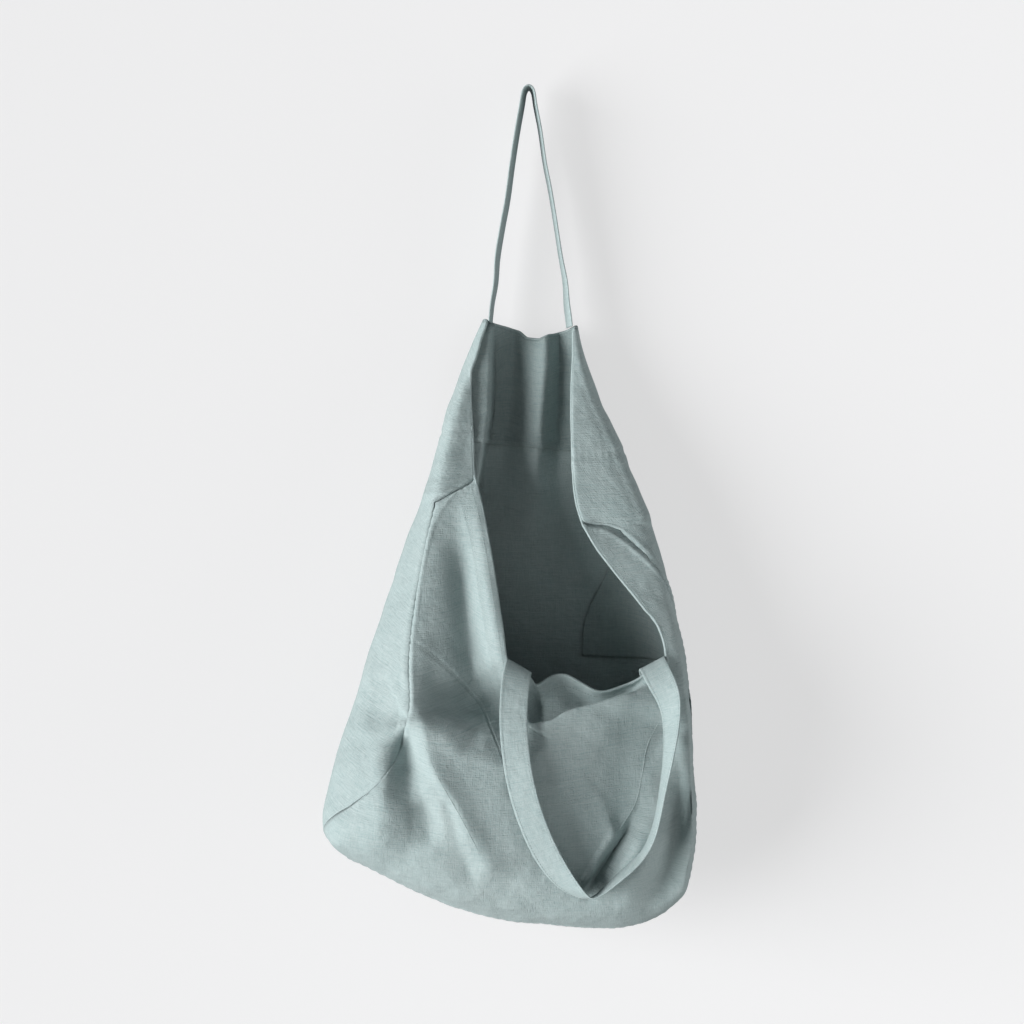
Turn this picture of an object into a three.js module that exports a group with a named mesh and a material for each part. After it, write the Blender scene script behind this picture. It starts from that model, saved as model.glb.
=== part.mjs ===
// A large soft linen tote, hanging from a peg by its back handle while its front half sags open.
// Two sewn panels make the sack. A doubled facing stiffens the mouth, and the two handles are
// sewn inside it. Millimetres, +Z up, +X to the right and +Y towards the wall behind the bag.
// The origin is where the back handle hangs: the middle of its underside.
import * as THREE from "three";

// Driving dimensions
const bagWidth = 370; // widest place, low on the sack
const bagDrop = 607; // from the back hem's high corner to the lowest point
const bagDepth = 150; // widest place, front to back
const handleRise = 237; // from the hanging point to the back hem's high corner
const handleWidth = 28;
const handleThickness = 2;
const wallThickness = 1.2; // one layer of heavy linen with its creases
const facingThickness = 0.8;
const clearance = 0.3; // between pieces that are sewn together
const facingGap = 1; // between a panel and its facing
const bandWidth = 16; // the doubled edge along the mouth
const tuckDepth = 0.14; // how far the rim is tucked in behind the front fold, share of bagDepth
const tuckUnder = 6; // how far the cloth behind the rim hangs down inside that fold
const leftStart = 0.262; // level at which the left side seam leaves the hem
const rightStart = 0.335; // and the right one, which goes half way round the side
const seamTurn = 0.045; // levels that the left seam needs to reach the fold line
const sideSpan = 0.19; // half a side of the sack, as a share of the front's width

// Mesh fineness
const columns = 34;
const hemRows = 7;
const bandRows = 6;
const bodyRows = 15;
const relaxPasses = 4;
const strapRows = 44;
const facingHemRows = 5; // rows under the back hem that the facing covers
const facingBodyRows = 4; // rows under the band that it covers at the front and at the sides
const facingColumns = 10; // columns that it covers beside the hem's ends

// Outline of the hanging sack. down is a share of bagDrop under the back hem's high corner, x a
// share of bagWidth from the hanging line, and level runs from 0 at the hem to 1 at the bottom seam.
const outline = [
  { level: 0.0, left: -0.122, leftDown: 0.0, right: 0.13, rightDown: 0.013, sag: 0.024 },
  { level: 0.04, left: -0.151, leftDown: 0.04, right: 0.139, rightDown: 0.041, sag: 0.016 },
  { level: 0.09, left: -0.186, leftDown: 0.089, right: 0.168, rightDown: 0.089, sag: 0.006 },
  { level: 0.143, left: -0.216, leftDown: 0.143, right: 0.2, rightDown: 0.14, sag: 0 },
  { level: 0.2, left: -0.241, leftDown: 0.201, right: 0.241, rightDown: 0.198, sag: 0 },
  { level: 0.255, left: -0.268, leftDown: 0.255, right: 0.268, rightDown: 0.255, sag: 0 },
  { level: 0.305, left: -0.295, leftDown: 0.305, right: 0.306, rightDown: 0.308, sag: 0 },
  { level: 0.382, left: -0.338, leftDown: 0.382, right: 0.351, rightDown: 0.387, sag: 0 },
  { level: 0.465, left: -0.386, leftDown: 0.465, right: 0.384, rightDown: 0.47, sag: 0 },
  { level: 0.555, left: -0.434, leftDown: 0.555, right: 0.419, rightDown: 0.555, sag: 0 },
  { level: 0.645, left: -0.478, leftDown: 0.643, right: 0.435, rightDown: 0.649, sag: 0 },
  { level: 0.727, left: -0.522, leftDown: 0.722, right: 0.441, rightDown: 0.735, sag: 0.004 },
  { level: 0.8, left: -0.552, leftDown: 0.789, right: 0.449, rightDown: 0.819, sag: 0.013 },
  { level: 0.86, left: -0.563, leftDown: 0.83, right: 0.446, rightDown: 0.876, sag: 0.028 },
  { level: 0.91, left: -0.55, leftDown: 0.856, right: 0.434, rightDown: 0.916, sag: 0.046 },
  { level: 0.95, left: -0.522, leftDown: 0.874, right: 0.422, rightDown: 0.942, sag: 0.059 },
  { level: 1.0, left: -0.48, leftDown: 0.892, right: 0.405, rightDown: 0.957, sag: 0.07 },
];

// The long fold lines at the front corners, x as a share of bagWidth, and how far the back, the
// folds and the middle of the front stand from the hanging plane, as shares of bagDepth.
const girth = [
  { level: 0.0, leftFold: -0.116, rightFold: 0.126, back: 0.17, fold: -0.093, front: -0.093, pleat: 0.1 },
  { level: 0.09, leftFold: -0.162, rightFold: 0.151, back: 0.17, fold: -0.15, front: -0.15, pleat: 0.085 },
  { level: 0.143, leftFold: -0.197, rightFold: 0.178, back: 0.17, fold: -0.19, front: -0.2, pleat: 0.07 },
  { level: 0.2, leftFold: -0.222, rightFold: 0.222, back: 0.17, fold: -0.24, front: -0.26, pleat: 0.05 },
  { level: 0.305, leftFold: -0.255, rightFold: 0.301, back: 0.17, fold: -0.34, front: -0.38, pleat: 0.02 },
  { level: 0.382, leftFold: -0.284, rightFold: 0.335, back: 0.17, fold: -0.41, front: -0.47, pleat: 0 },
  { level: 0.465, leftFold: -0.307, rightFold: 0.37, back: 0.17, fold: -0.48, front: -0.57, pleat: 0 },
  { level: 0.555, leftFold: -0.323, rightFold: 0.405, back: 0.17, fold: -0.56, front: -0.69, pleat: 0 },
  { level: 0.645, leftFold: -0.324, rightFold: 0.424, back: 0.17, fold: -0.63, front: -0.8, pleat: 0 },
  { level: 0.727, leftFold: -0.36, rightFold: 0.43, back: 0.16, fold: -0.67, front: -0.84, pleat: 0 },
  { level: 0.8, leftFold: -0.42, rightFold: 0.436, back: 0.15, fold: -0.68, front: -0.84, pleat: 0 },
  { level: 0.86, leftFold: -0.465, rightFold: 0.43, back: 0.11, fold: -0.65, front: -0.79, pleat: 0 },
  { level: 0.91, leftFold: -0.505, rightFold: 0.417, back: 0.03, fold: -0.58, front: -0.69, pleat: 0 },
  { level: 0.95, leftFold: -0.5, rightFold: 0.414, back: -0.09, fold: -0.48, front: -0.55, pleat: 0 },
  { level: 1.0, leftFold: -0.48, rightFold: 0.405, back: -0.3, fold: -0.3, front: -0.3, pleat: 0 },
];

// The hem on both sides of the mouth, x as a share of bagWidth.
const mouthSides = [
  { level: 0.0, left: -0.113, right: 0.122 },
  { level: 0.04, left: -0.135, right: 0.122 },
  { level: 0.09, left: -0.158, right: 0.118 },
  { level: 0.143, left: -0.159, right: 0.116 },
  { level: 0.2, left: -0.153, right: 0.117 },
  { level: 0.255, left: -0.149, right: 0.12 },
  { level: 0.305, left: -0.13, right: 0.13 },
  { level: 0.35, left: -0.115, right: 0.157 },
  { level: 0.4, left: -0.1, right: 0.215 },
  { level: 0.465, left: -0.084, right: 0.3 },
  { level: 0.52, left: -0.07, right: 0.363 },
  { level: 0.555, left: -0.063, right: 0.388 },
];

// The front hem from the left handle end to the right one, as it sags between them. edge is how
// far under the hem the front folds over itself, and tuck how deep the fold behind it is.
const rim = [
  { x: -0.06, down: 0.567, edge: 0.085, tuck: 0.05 },
  { x: -0.022, down: 0.576, edge: 0.093, tuck: 0.25 },
  { x: 0.003, down: 0.593, edge: 0.076, tuck: 0.7 },
  { x: 0.03, down: 0.603, edge: 0.061, tuck: 1 },
  { x: 0.06, down: 0.591, edge: 0.067, tuck: 1 },
  { x: 0.1, down: 0.589, edge: 0.055, tuck: 1 },
  { x: 0.143, down: 0.603, edge: 0.034, tuck: 1 },
  { x: 0.192, down: 0.615, edge: 0.015, tuck: 0.9 },
  { x: 0.26, down: 0.605, edge: 0.012, tuck: 0.8 },
  { x: 0.314, down: 0.586, edge: 0.018, tuck: 0.45 },
  { x: 0.345, down: 0.574, edge: 0.024, tuck: 0.15 },
  { x: 0.371, down: 0.562, edge: 0.034, tuck: 0 },
];

// Dents and folds in the cloth, each a line from one place to another with a width and a rise
// towards the front. Places are shares of bagWidth and bagDrop, width of bagWidth, rise of bagDepth.
const folds = [
  { x: -0.21, down: 0.37, toX: -0.185, toDown: 0.6, width: 0.045, rise: -0.13 },
  { x: -0.25, down: 0.63, toX: -0.06, toDown: 0.645, width: 0.04, rise: -0.13 },
  { x: -0.375, down: 0.7, toX: -0.4, toDown: 0.81, width: 0.045, rise: 0.09 },
  { x: -0.332, down: 0.705, toX: -0.328, toDown: 0.78, width: 0.035, rise: -0.14 },
  { x: -0.31, down: 0.68, toX: -0.11, toDown: 0.9, width: 0.03, rise: 0.06 },
  { x: -0.285, down: 0.8, toX: -0.26, toDown: 0.9, width: 0.025, rise: -0.035 },
  { x: 0.395, down: 0.74, toX: 0.35, toDown: 0.92, width: 0.045, rise: -0.1 },
  { x: 0.33, down: 0.72, toX: 0.23, toDown: 0.86, width: 0.03, rise: 0.04 },
];

// The back hem hangs in one soft pleat between the handle's ends, which fades out further down.
const hemPleat = { x: 0.018, toX: -0.02, toDown: 0.36, width: 0.036, rise: 0.13 };

// The back handle, edge on: x a share of bagWidth, down a share of handleRise.
const backHandle = [
  { x: -0.1, down: 1.09, y: -0.05 },
  { x: -0.0985, down: 1.04, y: -0.045 },
  { x: -0.098, down: 0.992, y: -0.035 },
  { x: -0.099, down: 0.941, y: 0 },
  { x: -0.09, down: 0.84, y: 0 },
  { x: -0.086, down: 0.738, y: 0 },
  { x: -0.07, down: 0.586, y: 0 },
  { x: -0.058, down: 0.485, y: 0 },
  { x: -0.045, down: 0.333, y: 0 },
  { x: -0.03, down: 0.181, y: 0 },
  { x: -0.017, down: 0.07, y: 0 },
  { x: -0.011, down: 0.012, y: 0 },
  { x: 0, down: -0.0042, y: 0 },
  { x: 0.011, down: 0.012, y: 0 },
  { x: 0.016, down: 0.07, y: 0 },
  { x: 0.03, down: 0.181, y: 0 },
  { x: 0.044, down: 0.333, y: 0 },
  { x: 0.057, down: 0.434, y: 0 },
  { x: 0.068, down: 0.536, y: 0 },
  { x: 0.088, down: 0.738, y: 0 },
  { x: 0.1, down: 0.84, y: 0 },
  { x: 0.104, down: 0.941, y: 0 },
  { x: 0.1065, down: 0.992, y: -0.025 },
  { x: 0.107, down: 1.04, y: -0.035 },
  { x: 0.107, down: 1.09, y: -0.04 },
];

// The front handle: x a share of bagWidth, down of bagDrop, and either y as a share of bagDepth
// or off, the distance in front of the cloth. Both ends are folded over the hem to its inside.
const frontHandle = [
  { x: -0.065, down: 0.612, y: -0.64, turn: 145, roll: 0 },
  { x: -0.045, down: 0.592, y: -0.613, turn: 148, roll: 0 },
  { x: -0.03, down: 0.574, y: -0.607, turn: 150, roll: 0 },
  { x: -0.0214, down: 0.5655, y: -0.655, turn: 150, roll: 0 },
  { x: -0.03, down: 0.574, y: -0.725, turn: 150, roll: 0 },
  { x: -0.037, down: 0.597, y: -0.76, turn: 152, roll: 2 },
  { x: -0.041, down: 0.629, y: -0.793, turn: 170, roll: 4 },
  { x: -0.043, down: 0.662, y: -0.825, roll: 8 },
  { x: -0.039, down: 0.695, off: 6, roll: 10 },
  { x: -0.031, down: 0.736, off: 7, roll: 15 },
  { x: -0.011, down: 0.79, off: 9, roll: 20 },
  { x: 0.02, down: 0.843, off: 12, roll: 28 },
  { x: 0.055, down: 0.886, off: 15, roll: 38 },
  { x: 0.1, down: 0.922, off: 20, roll: 60 },
  { x: 0.14, down: 0.942, off: 24, roll: 80 },
  { x: 0.162, down: 0.948, off: 26, roll: 90 },
  { x: 0.182, down: 0.94, off: 24, roll: 100 },
  { x: 0.2162, down: 0.919, off: 22, roll: 115 },
  { x: 0.2757, down: 0.881, off: 20, roll: 128 },
  { x: 0.316, down: 0.814, off: 19, roll: 128 },
  { x: 0.348, down: 0.775, off: 19, roll: 105 },
  { x: 0.36, down: 0.735, off: 19, roll: 85 },
  { x: 0.375, down: 0.685, off: 17, roll: 62 },
  { x: 0.38, down: 0.65, off: 13, roll: 40 },
  { x: 0.367, down: 0.615, y: -0.74, turn: 380, roll: 10 },
  { x: 0.343, down: 0.592, y: -0.7, turn: 388, roll: 0 },
  { x: 0.331, down: 0.57, y: -0.65, turn: 388, roll: 0 },
  { x: 0.326, down: 0.5605, y: -0.59, turn: 388, roll: 0 },
  { x: 0.331, down: 0.57, y: -0.525, turn: 388, roll: 0 },
  { x: 0.34, down: 0.6, y: -0.535, turn: 388, roll: 0 },
  { x: 0.352, down: 0.618, y: -0.55, turn: 388, roll: 0 },
];

// A smooth curve through one column of a table, by its key column: a cubic between each two rows
// whose slope at a row is the slope from the row before to the row after.
function through(rows, key, column) {
  const slope = (i) => {
    const before = rows[Math.max(i - 1, 0)];
    const after = rows[Math.min(i + 1, rows.length - 1)];
    return (after[column] - before[column]) / (after[key] - before[key]);
  };
  return (at) => {
    let i = 0;
    while (i < rows.length - 2 && at > rows[i + 1][key]) i += 1;
    const span = rows[i + 1][key] - rows[i][key];
    const t = (at - rows[i][key]) / span;
    return (
      rows[i][column] * (1 - 3 * t * t + 2 * t ** 3) +
      rows[i + 1][column] * (3 * t * t - 2 * t ** 3) +
      slope(i) * span * (t - 2 * t * t + t ** 3) +
      slope(i + 1) * span * (t ** 3 - t * t)
    );
  };
}

const lerp = THREE.MathUtils.lerp;
const clamp = THREE.MathUtils.clamp;
const eased = (t) => THREE.MathUtils.smoothstep(t, 0, 1);
const curve = (points) => new THREE.CatmullRomCurve3(points, false, "centripetal");
const shares = (n) => Array.from({ length: n + 1 }, (_, i) => i / n);
const of = (rows, column) => through(rows, "level", column);
const left = of(outline, "left");
const right = of(outline, "right");
const leftDown = of(outline, "leftDown");
const rightDown = of(outline, "rightDown");
const sag = of(outline, "sag");
const leftFold = of(girth, "leftFold");
const rightFold = of(girth, "rightFold");
const backDepth = of(girth, "back");
const foldDepth = of(girth, "fold");
const frontDepth = of(girth, "front");
const pleat = of(girth, "pleat");
const leftHem = of(mouthSides, "left");
const rightHem = of(mouthSides, "right");

// Where the left side seam lies at a level: from the hem over to the fold line, and down along it.
function leftEdge(level) {
  return lerp(leftHem(leftStart), leftFold(level), eased((level - leftStart) / seamTurn));
}

// Height of a section at x: the sections tilt, and sag in the middle near the hem and the bottom.
function height(level, x) {
  const q = clamp((x - left(level)) / (right(level) - left(level)), 0, 1);
  const blunt = 2.6 + 1.4 * q * eased((level - 0.5) / 0.4);
  const belly = 1 - Math.abs(2 * q ** 1.25 - 1) ** blunt;
  const down = lerp(leftDown(level), rightDown(level), q) + sag(level) * belly;
  return -handleRise - bagDrop * down;
}

// How far the folds move the cloth towards the front at a place: a rounded ridge along each line.
function foldRise(x, z) {
  return folds.reduce((sum, f) => {
    const from = new THREE.Vector2(f.x * bagWidth, -handleRise - f.down * bagDrop);
    const along = new THREE.Vector2(f.toX * bagWidth, -handleRise - f.toDown * bagDrop).sub(from);
    const place = new THREE.Vector2(x, z).sub(from);
    const t = clamp(place.dot(along) / along.lengthSq(), 0, 1);
    const away = place.sub(along.multiplyScalar(t)).length() / (f.width * bagWidth);
    return sum + f.rise * bagDepth * Math.exp(-away * away);
  }, 0);
}

// The front of the sack at a share across from fold line to fold line and a level. Under 0 and
// over 1 it goes on round the sides, as far as half their depth at -sideSpan and 1 + sideSpan.
function front(across, level) {
  const beyond = Math.max(-across, across - 1, 0) / sideSpan;
  const turn = (Math.min(beyond, 1) * Math.PI) / 2;
  const middle = (foldDepth(level) + backDepth(level)) / 2;
  const flat = lerp(leftFold(level), rightFold(level), clamp(across, 0, 1));
  const side = across < 0 ? left(level) - leftFold(level) : right(level) - rightFold(level);
  const x = flat + side * Math.sin(turn);
  const lean = lerp(1, 0.75, eased((level - 0.5) / 0.2));
  const crown = 1 - Math.abs(2 * clamp(across, 0, 1) ** lean - 1) ** 2.2;
  const ahead = lerp(foldDepth(level), frontDepth(level), crown);
  const y = (ahead + (middle - foldDepth(level)) * (1 - Math.cos(turn))) * bagDepth;
  const z = height(level, x);
  return new THREE.Vector3(x * bagWidth, y - foldRise(x * bagWidth, z), z);
}

// Level of a place on the front, from its x share and its drop, and the share across of an x.
function levelAt(x, down) {
  let low = 0;
  let high = 1;
  for (let i = 0; i < 40; i += 1) {
    const middle = (low + high) / 2;
    if (-handleRise - bagDrop * down < height(middle, x)) low = middle;
    else high = middle;
  }
  return low;
}
const acrossAt = (x, level) => (x - leftFold(level)) / (rightFold(level) - leftFold(level));

// Points at equal steps along a line of points.
function spread(points, steps) {
  const lengths = points.map((p, i) => (i ? p.distanceTo(points[i - 1]) : 0));
  const runs = lengths.map(((sum) => (d) => (sum += d))(0));
  return shares(steps).map((s) => {
    const i = clamp(runs.findIndex((d) => d >= s * runs.at(-1) - 1e-9), 1, points.length - 1);
    return points[i - 1].clone().lerp(points[i], (s * runs.at(-1) - runs[i - 1]) / (runs[i] - runs[i - 1]));
  });
}

// How far the pleat under the back hem stands out at a place.
function pleatRise(x, z) {
  const down = clamp((-handleRise - z) / bagDrop / hemPleat.toDown, 0, 1);
  const away = (x / bagWidth - lerp(hemPleat.x, hemPleat.toX, down)) / hemPleat.width;
  return hemPleat.rise * bagDepth * (1 - eased(down)) * Math.exp(-away * away);
}

// One section of the back panel, seen from above: from the left side seam or the hem round the
// left side, over the back with its pleat, and round the right side. turn runs from 0 where the
// right edge is the hem to 1 where it is the seam, half way back on the side. Low down the left
// seam comes round to there too.
const leftTurn = (level) => eased((level - 0.72) / 0.22);
function backSection(level, turn) {
  const middle = (foldDepth(level) + backDepth(level)) / 2;
  const width = right(level) - left(level);
  const corner = lerp(0.075, 0.12, eased(level / 0.4)) * width;
  const shoulder = lerp(0.385, 0.3, eased(level / 0.5)) * width;
  const stations = [
    [level < leftStart ? leftHem(level) : leftEdge(level), foldDepth(level)],
    [leftFold(level), foldDepth(level)],
    [left(level), middle],
    [left(level) + corner, backDepth(level) - pleat(level)],
    [left(level) + shoulder, backDepth(level)],
    [right(level) - shoulder, backDepth(level)],
    [right(level) - corner, backDepth(level) - pleat(level)],
    [right(level), middle],
    [rightFold(level), foldDepth(level)],
    [Math.min(rightHem(Math.min(level, 0.55)), rightFold(level) - 0.004), foldDepth(level)],
  ];
  if (stations[0][0] - stations[1][0] < 0.004) stations.shift();
  const places = stations.map(([x, y]) => new THREE.Vector3(x * bagWidth, y * bagDepth, 0));
  const begin = leftTurn(level) / (places.length - 1);
  const end = 1 - (2 * turn) / (places.length - 1);
  const line = curve(places);
  const depth = Math.max((backDepth(level) - foldDepth(level)) * bagDepth, 1);
  return spread(shares(160).map((t) => line.getPoint(lerp(begin, end, t))), columns).map((p) => {
    const forward = clamp((backDepth(level) * bagDepth - p.y) / depth, 0, 1);
    p.z = height(level, p.x / bagWidth);
    p.y -= foldRise(p.x, p.z) * forward * forward + pleatRise(p.x, p.z) * (1 - forward) ** 2;
    return p;
  });
}

// Each row of the back panel runs from a level on the left to a level on the right: above the
// side seams, beside the mouth's band, and below it.
const leftBand = leftStart + bandWidth / bagDrop;
const rightBand = rightStart + 0.003;
const cornerTurn = 0.17; // how far round the right seam has come at the band's lower edge
const drop = (t) => 1 - (1 - t) ** 1.12;
const rowEnds = [
  ...shares(hemRows).map((t) => ({ a: t * leftStart, b: t * rightStart, turn: 0 })),
  ...shares(bandRows).slice(1).map((t) => {
    return { a: lerp(leftStart, leftBand, t), b: lerp(rightStart, rightBand, t), turn: t * cornerTurn };
  }),
  ...shares(bodyRows).slice(1).map((t) => {
    const turn = lerp(cornerTurn, 1, eased((t + 0.05) / 0.33));
    return { a: lerp(leftBand, 1, drop(t)), b: lerp(rightBand, 1, drop(t)), turn };
  }),
];
const backRows = rowEnds.map(({ a, b, turn }) =>
  shares(columns).map((s, c) => backSection(lerp(a, b, s), turn)[c]),
);

// The front hem and the line at the band's lower edge, where the front folds over: down the left
// side of the mouth, along the rim and up the right side, as shares across and levels.
const seamAcross = (level, turn) => {
  const hem = acrossAt(rightHem(Math.min(level, 0.55)), level);
  return turn < 0.5 ? lerp(hem, 1, 2 * turn) : 1 + sideSpan * (2 * turn - 1);
};
function sidePlace(t, hem, start, way, corner) {
  const level = lerp(start, 0.51, t);
  const near = 1 - eased(t / 0.25);
  const low = eased((t - 0.6) / 0.5);
  const across = acrossAt(hem(level), level);
  const reach = (bandWidth / bagWidth) * (1 - 0.3 * low) * way;
  const beside = across + reach / (rightFold(level) - leftFold(level));
  return {
    hem: new THREE.Vector3(across, level, 0),
    edge: new THREE.Vector3(lerp(beside, corner.x, near), lerp(level + 0.012 + 0.045 * low, corner.y, near), 0),
  };
}
const leftCorner = { x: acrossAt(leftEdge(leftBand), leftBand), y: leftBand };
const rightCorner = { x: seamAcross(rightBand, cornerTurn), y: rightBand };
const hemPlaces = [
  ...shares(7).map((t) => sidePlace(t, leftHem, leftStart, -1, leftCorner)),
  ...rim.map(({ x, down, edge, tuck }) => {
    const level = levelAt(x, down);
    const under = levelAt(x, down + edge);
    return {
      hem: new THREE.Vector3(acrossAt(x, level), level, tuck),
      edge: new THREE.Vector3(acrossAt(x, under), under, 0),
    };
  }),
  ...shares(5).toReversed().map((t) => sidePlace(t, rightHem, rightStart, 1, rightCorner)),
];
const hemCurve = curve(hemPlaces.map((p) => p.hem));
const edgeCurve = curve(hemPlaces.map((p) => p.edge));

// Columns start at equal steps along the hem.
const fine = shares(600).map((u) => hemCurve.getPoint(u)).map((p) => front(p.x, p.y));
const lengths = fine.map((p, i) => (i ? p.distanceTo(fine[i - 1]) : 0));
const runs = lengths.map(((sum) => (d) => (sum += d))(0));
const starts = shares(columns).map((s) => runs.findIndex((d) => d >= s * runs.at(-1) - 1e-6) / 600);

// Band rows run from the hem to that line. Behind the line the cloth is tucked in and under.
function bandRow(t) {
  return starts.map((u) => {
    const hem = hemCurve.getPoint(u);
    const edge = edgeCurve.getPoint(u);
    const place = front(lerp(hem.x, edge.x, t), lerp(hem.y, edge.y, t));
    const tuck = clamp(hem.z, 0, 1);
    const hollow = Math.sin(Math.PI * clamp(t, 0, 1));
    place.y += tuck * (1 - t ** 6) * bagDepth * tuckDepth * (1 + 0.45 * tuck * hollow);
    place.z -= tuck * tuck * tuckUnder * hollow * hollow;
    return place;
  });
}

// Body rows run from that line to the bottom seam, between the side seams: a surface blended
// from its four edges.
const bottomAcross = (s) => lerp(-sideSpan, 1 + sideSpan, s);
const bodyPlaces = rowEnds.slice(hemRows + bandRows).map(({ a, b, turn }, i) => {
  const t = drop(i / bodyRows);
  const start = { x: acrossAt(leftEdge(a), a) - sideSpan * leftTurn(a), y: a };
  const end = { x: seamAcross(b, turn), y: b };
  return shares(columns).map((s, c) => {
    const top = edgeCurve.getPoint(starts[c]);
    const blend = (key, low, lowEnd) =>
      (1 - t) * top[key] + t * low + (1 - s) * start[key] + s * end[key] -
      (1 - t) * ((1 - s) * leftCorner[key] + s * rightCorner[key]) - t * lowEnd;
    const across = blend("x", bottomAcross(s), bottomAcross(s));
    return new THREE.Vector3(across, blend("y", 1, 1), 0);
  });
});
const bodyGrid = relaxed(bodyPlaces, 30, () => 0);
const frontRows = [
  ...shares(bandRows).map(bandRow),
  ...bodyGrid.slice(1).map((row) => row.map((p) => front(p.x, p.y))),
];

// Smooths a grid away from its edges: each place moves half way to the mean of its neighbours,
// with the nearer ones counting for more.
function relaxed(grid, passes, kept) {
  const last = grid.length - 1;
  const move = (rows) => rows.map((row, r) => row.map((p, c) => {
    if (r === 0 || r === last || c === 0 || c === columns) return p;
    const near = [rows[r - 1][c], rows[r + 1][c], row[c - 1], row[c + 1]];
    const weights = near.map((q) => 1 / Math.max(q.distanceTo(p), 0.5));
    const total = weights.reduce((a, b) => a + b);
    const mean = new THREE.Vector3();
    near.forEach((q, i) => mean.addScaledVector(q, weights[i] / total));
    return p.clone().lerp(mean, 0.5 * (1 - kept(r, c)));
  }));
  return shares(passes - 1).reduce(move, grid);
}

// Both panels share their side and bottom seams.
frontRows.forEach((row, r) => {
  row[0] = backRows[r + hemRows][0];
  row[columns] = backRows[r + hemRows][columns];
});
frontRows.at(-1).forEach((p, c) => p.copy(backRows.at(-1)[c]));
const tucked = (r, c) => (r <= bandRows ? clamp(hemCurve.getPoint(starts[c]).z * 1.2, 0, 1) : 0);
const backGrid = relaxed(backRows, relaxPasses, () => 0);
const frontGrid = relaxed(frontRows, relaxPasses, tucked);

// Outward direction at each place of a grid: the mean of the squares around it, longer where they
// meet at a corner, so that a sheet keeps its thickness there.
function normals(grid, way) {
  const squares = grid.slice(1).map((row, r) => row.slice(1).map((p, c) => {
    const falling = p.clone().sub(grid[r][c]);
    const rising = grid[r][c + 1].clone().sub(row[c]);
    return falling.cross(rising).multiplyScalar(way).normalize();
  }));
  return grid.map((row, r) => row.map((_, c) => {
    const near = [r - 1, r].flatMap((i) => [squares[i]?.[c - 1], squares[i]?.[c]]).filter(Boolean);
    const mean = near.reduce((sum, n) => sum.add(n), new THREE.Vector3()).normalize();
    const least = Math.min(...near.map((n) => n.dot(mean)));
    return mean.divideScalar(clamp(least, 0.72, 1));
  }));
}
const soften = (rows) => rows.map((row, r) => row.map((n, c) => {
  const beside = [row[c - 1], row[c + 1], rows[r - 1]?.[c], rows[r + 1]?.[c]].filter(Boolean);
  const mean = beside.reduce((sum, b) => sum.add(b), new THREE.Vector3()).divideScalar(beside.length);
  return n.clone().lerp(mean, 0.4);
}));
const backNormals = soften(normals(backGrid, -1));
const frontNormals = soften(normals(frontGrid, 1));
// On a seam both panels stand the same way.
const share = (a, b) => {
  a.normalize().add(b.normalize()).normalize();
  b.copy(a);
};
frontNormals.forEach((row, r) => {
  share(row[0], backNormals[r + hemRows][0]);
  share(row[columns], backNormals[r + hemRows][columns]);
});
frontNormals.at(-1).forEach((n, c) => share(n, backNormals.at(-1)[c]));
for (const c of [0, columns]) {
  frontNormals.at(-1)[c].set(0, 0, -1);
  backNormals.at(-1)[c].set(0, 0, -1);
}

// A closed sheet over the chosen squares of a grid, between two heights over its inner face. Edges
// on a seam stand back from it.
function sheet(grid, out, way, inner, outer, { keep = () => true, seamFrom = 0, back = clearance } = {}) {
  const last = grid.length - 1;
  const points = [];
  const faces = [];
  const index = new Map();
  const vertex = (r, c, side) => {
    const key = (r * (columns + 1) + c) * 2 + side;
    if (!index.has(key)) {
      const p = grid[r][c].clone();
      if (r >= seamFrom && r < last && (c === 0 || c === columns)) {
        const inward = grid[r][c === 0 ? 1 : columns - 1].clone().sub(p).normalize();
        p.addScaledVector(inward, back);
      }
      if (r === last) p.y -= back * way;
      p.addScaledVector(out[r][c], side ? outer : inner);
      index.set(key, points.length / 3);
      points.push(p.x, p.y, p.z);
    }
    return index.get(key);
  };
  const square = ([a, b, c, d], facing) =>
    facing > 0 ? faces.push(a, b, c, a, c, d) : faces.push(a, c, b, a, d, c);
  const kept = (r, c) => r >= 0 && c >= 0 && r < last && c < columns && keep(r, c);
  for (let r = 0; r < last; r += 1) {
    for (let c = 0; c < columns; c += 1) {
      if (!kept(r, c)) continue;
      const corners = [[r, c], [r + 1, c], [r + 1, c + 1], [r, c + 1]];
      const neighbours = [[r, c - 1], [r + 1, c], [r, c + 1], [r - 1, c]];
      const falling = grid[r][c].distanceTo(grid[r + 1][c + 1]);
      if (grid[r + 1][c].distanceTo(grid[r][c + 1]) < falling) {
        corners.push(corners.shift());
        neighbours.push(neighbours.shift());
      }
      const high = corners.map(([i, j]) => vertex(i, j, 1));
      const low = corners.map(([i, j]) => vertex(i, j, 0));
      square(high, way);
      square(low, -way);
      neighbours.forEach(([i, j], k) => {
        const next = (k + 1) % 4;
        if (!kept(i, j)) square([high[k], low[k], low[next], high[next]], way);
      });
    }
  }
  const geometry = new THREE.BufferGeometry();
  geometry.setAttribute("position", new THREE.Float32BufferAttribute(points, 3));
  geometry.setIndex(faces);
  return geometry;
}

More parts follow.
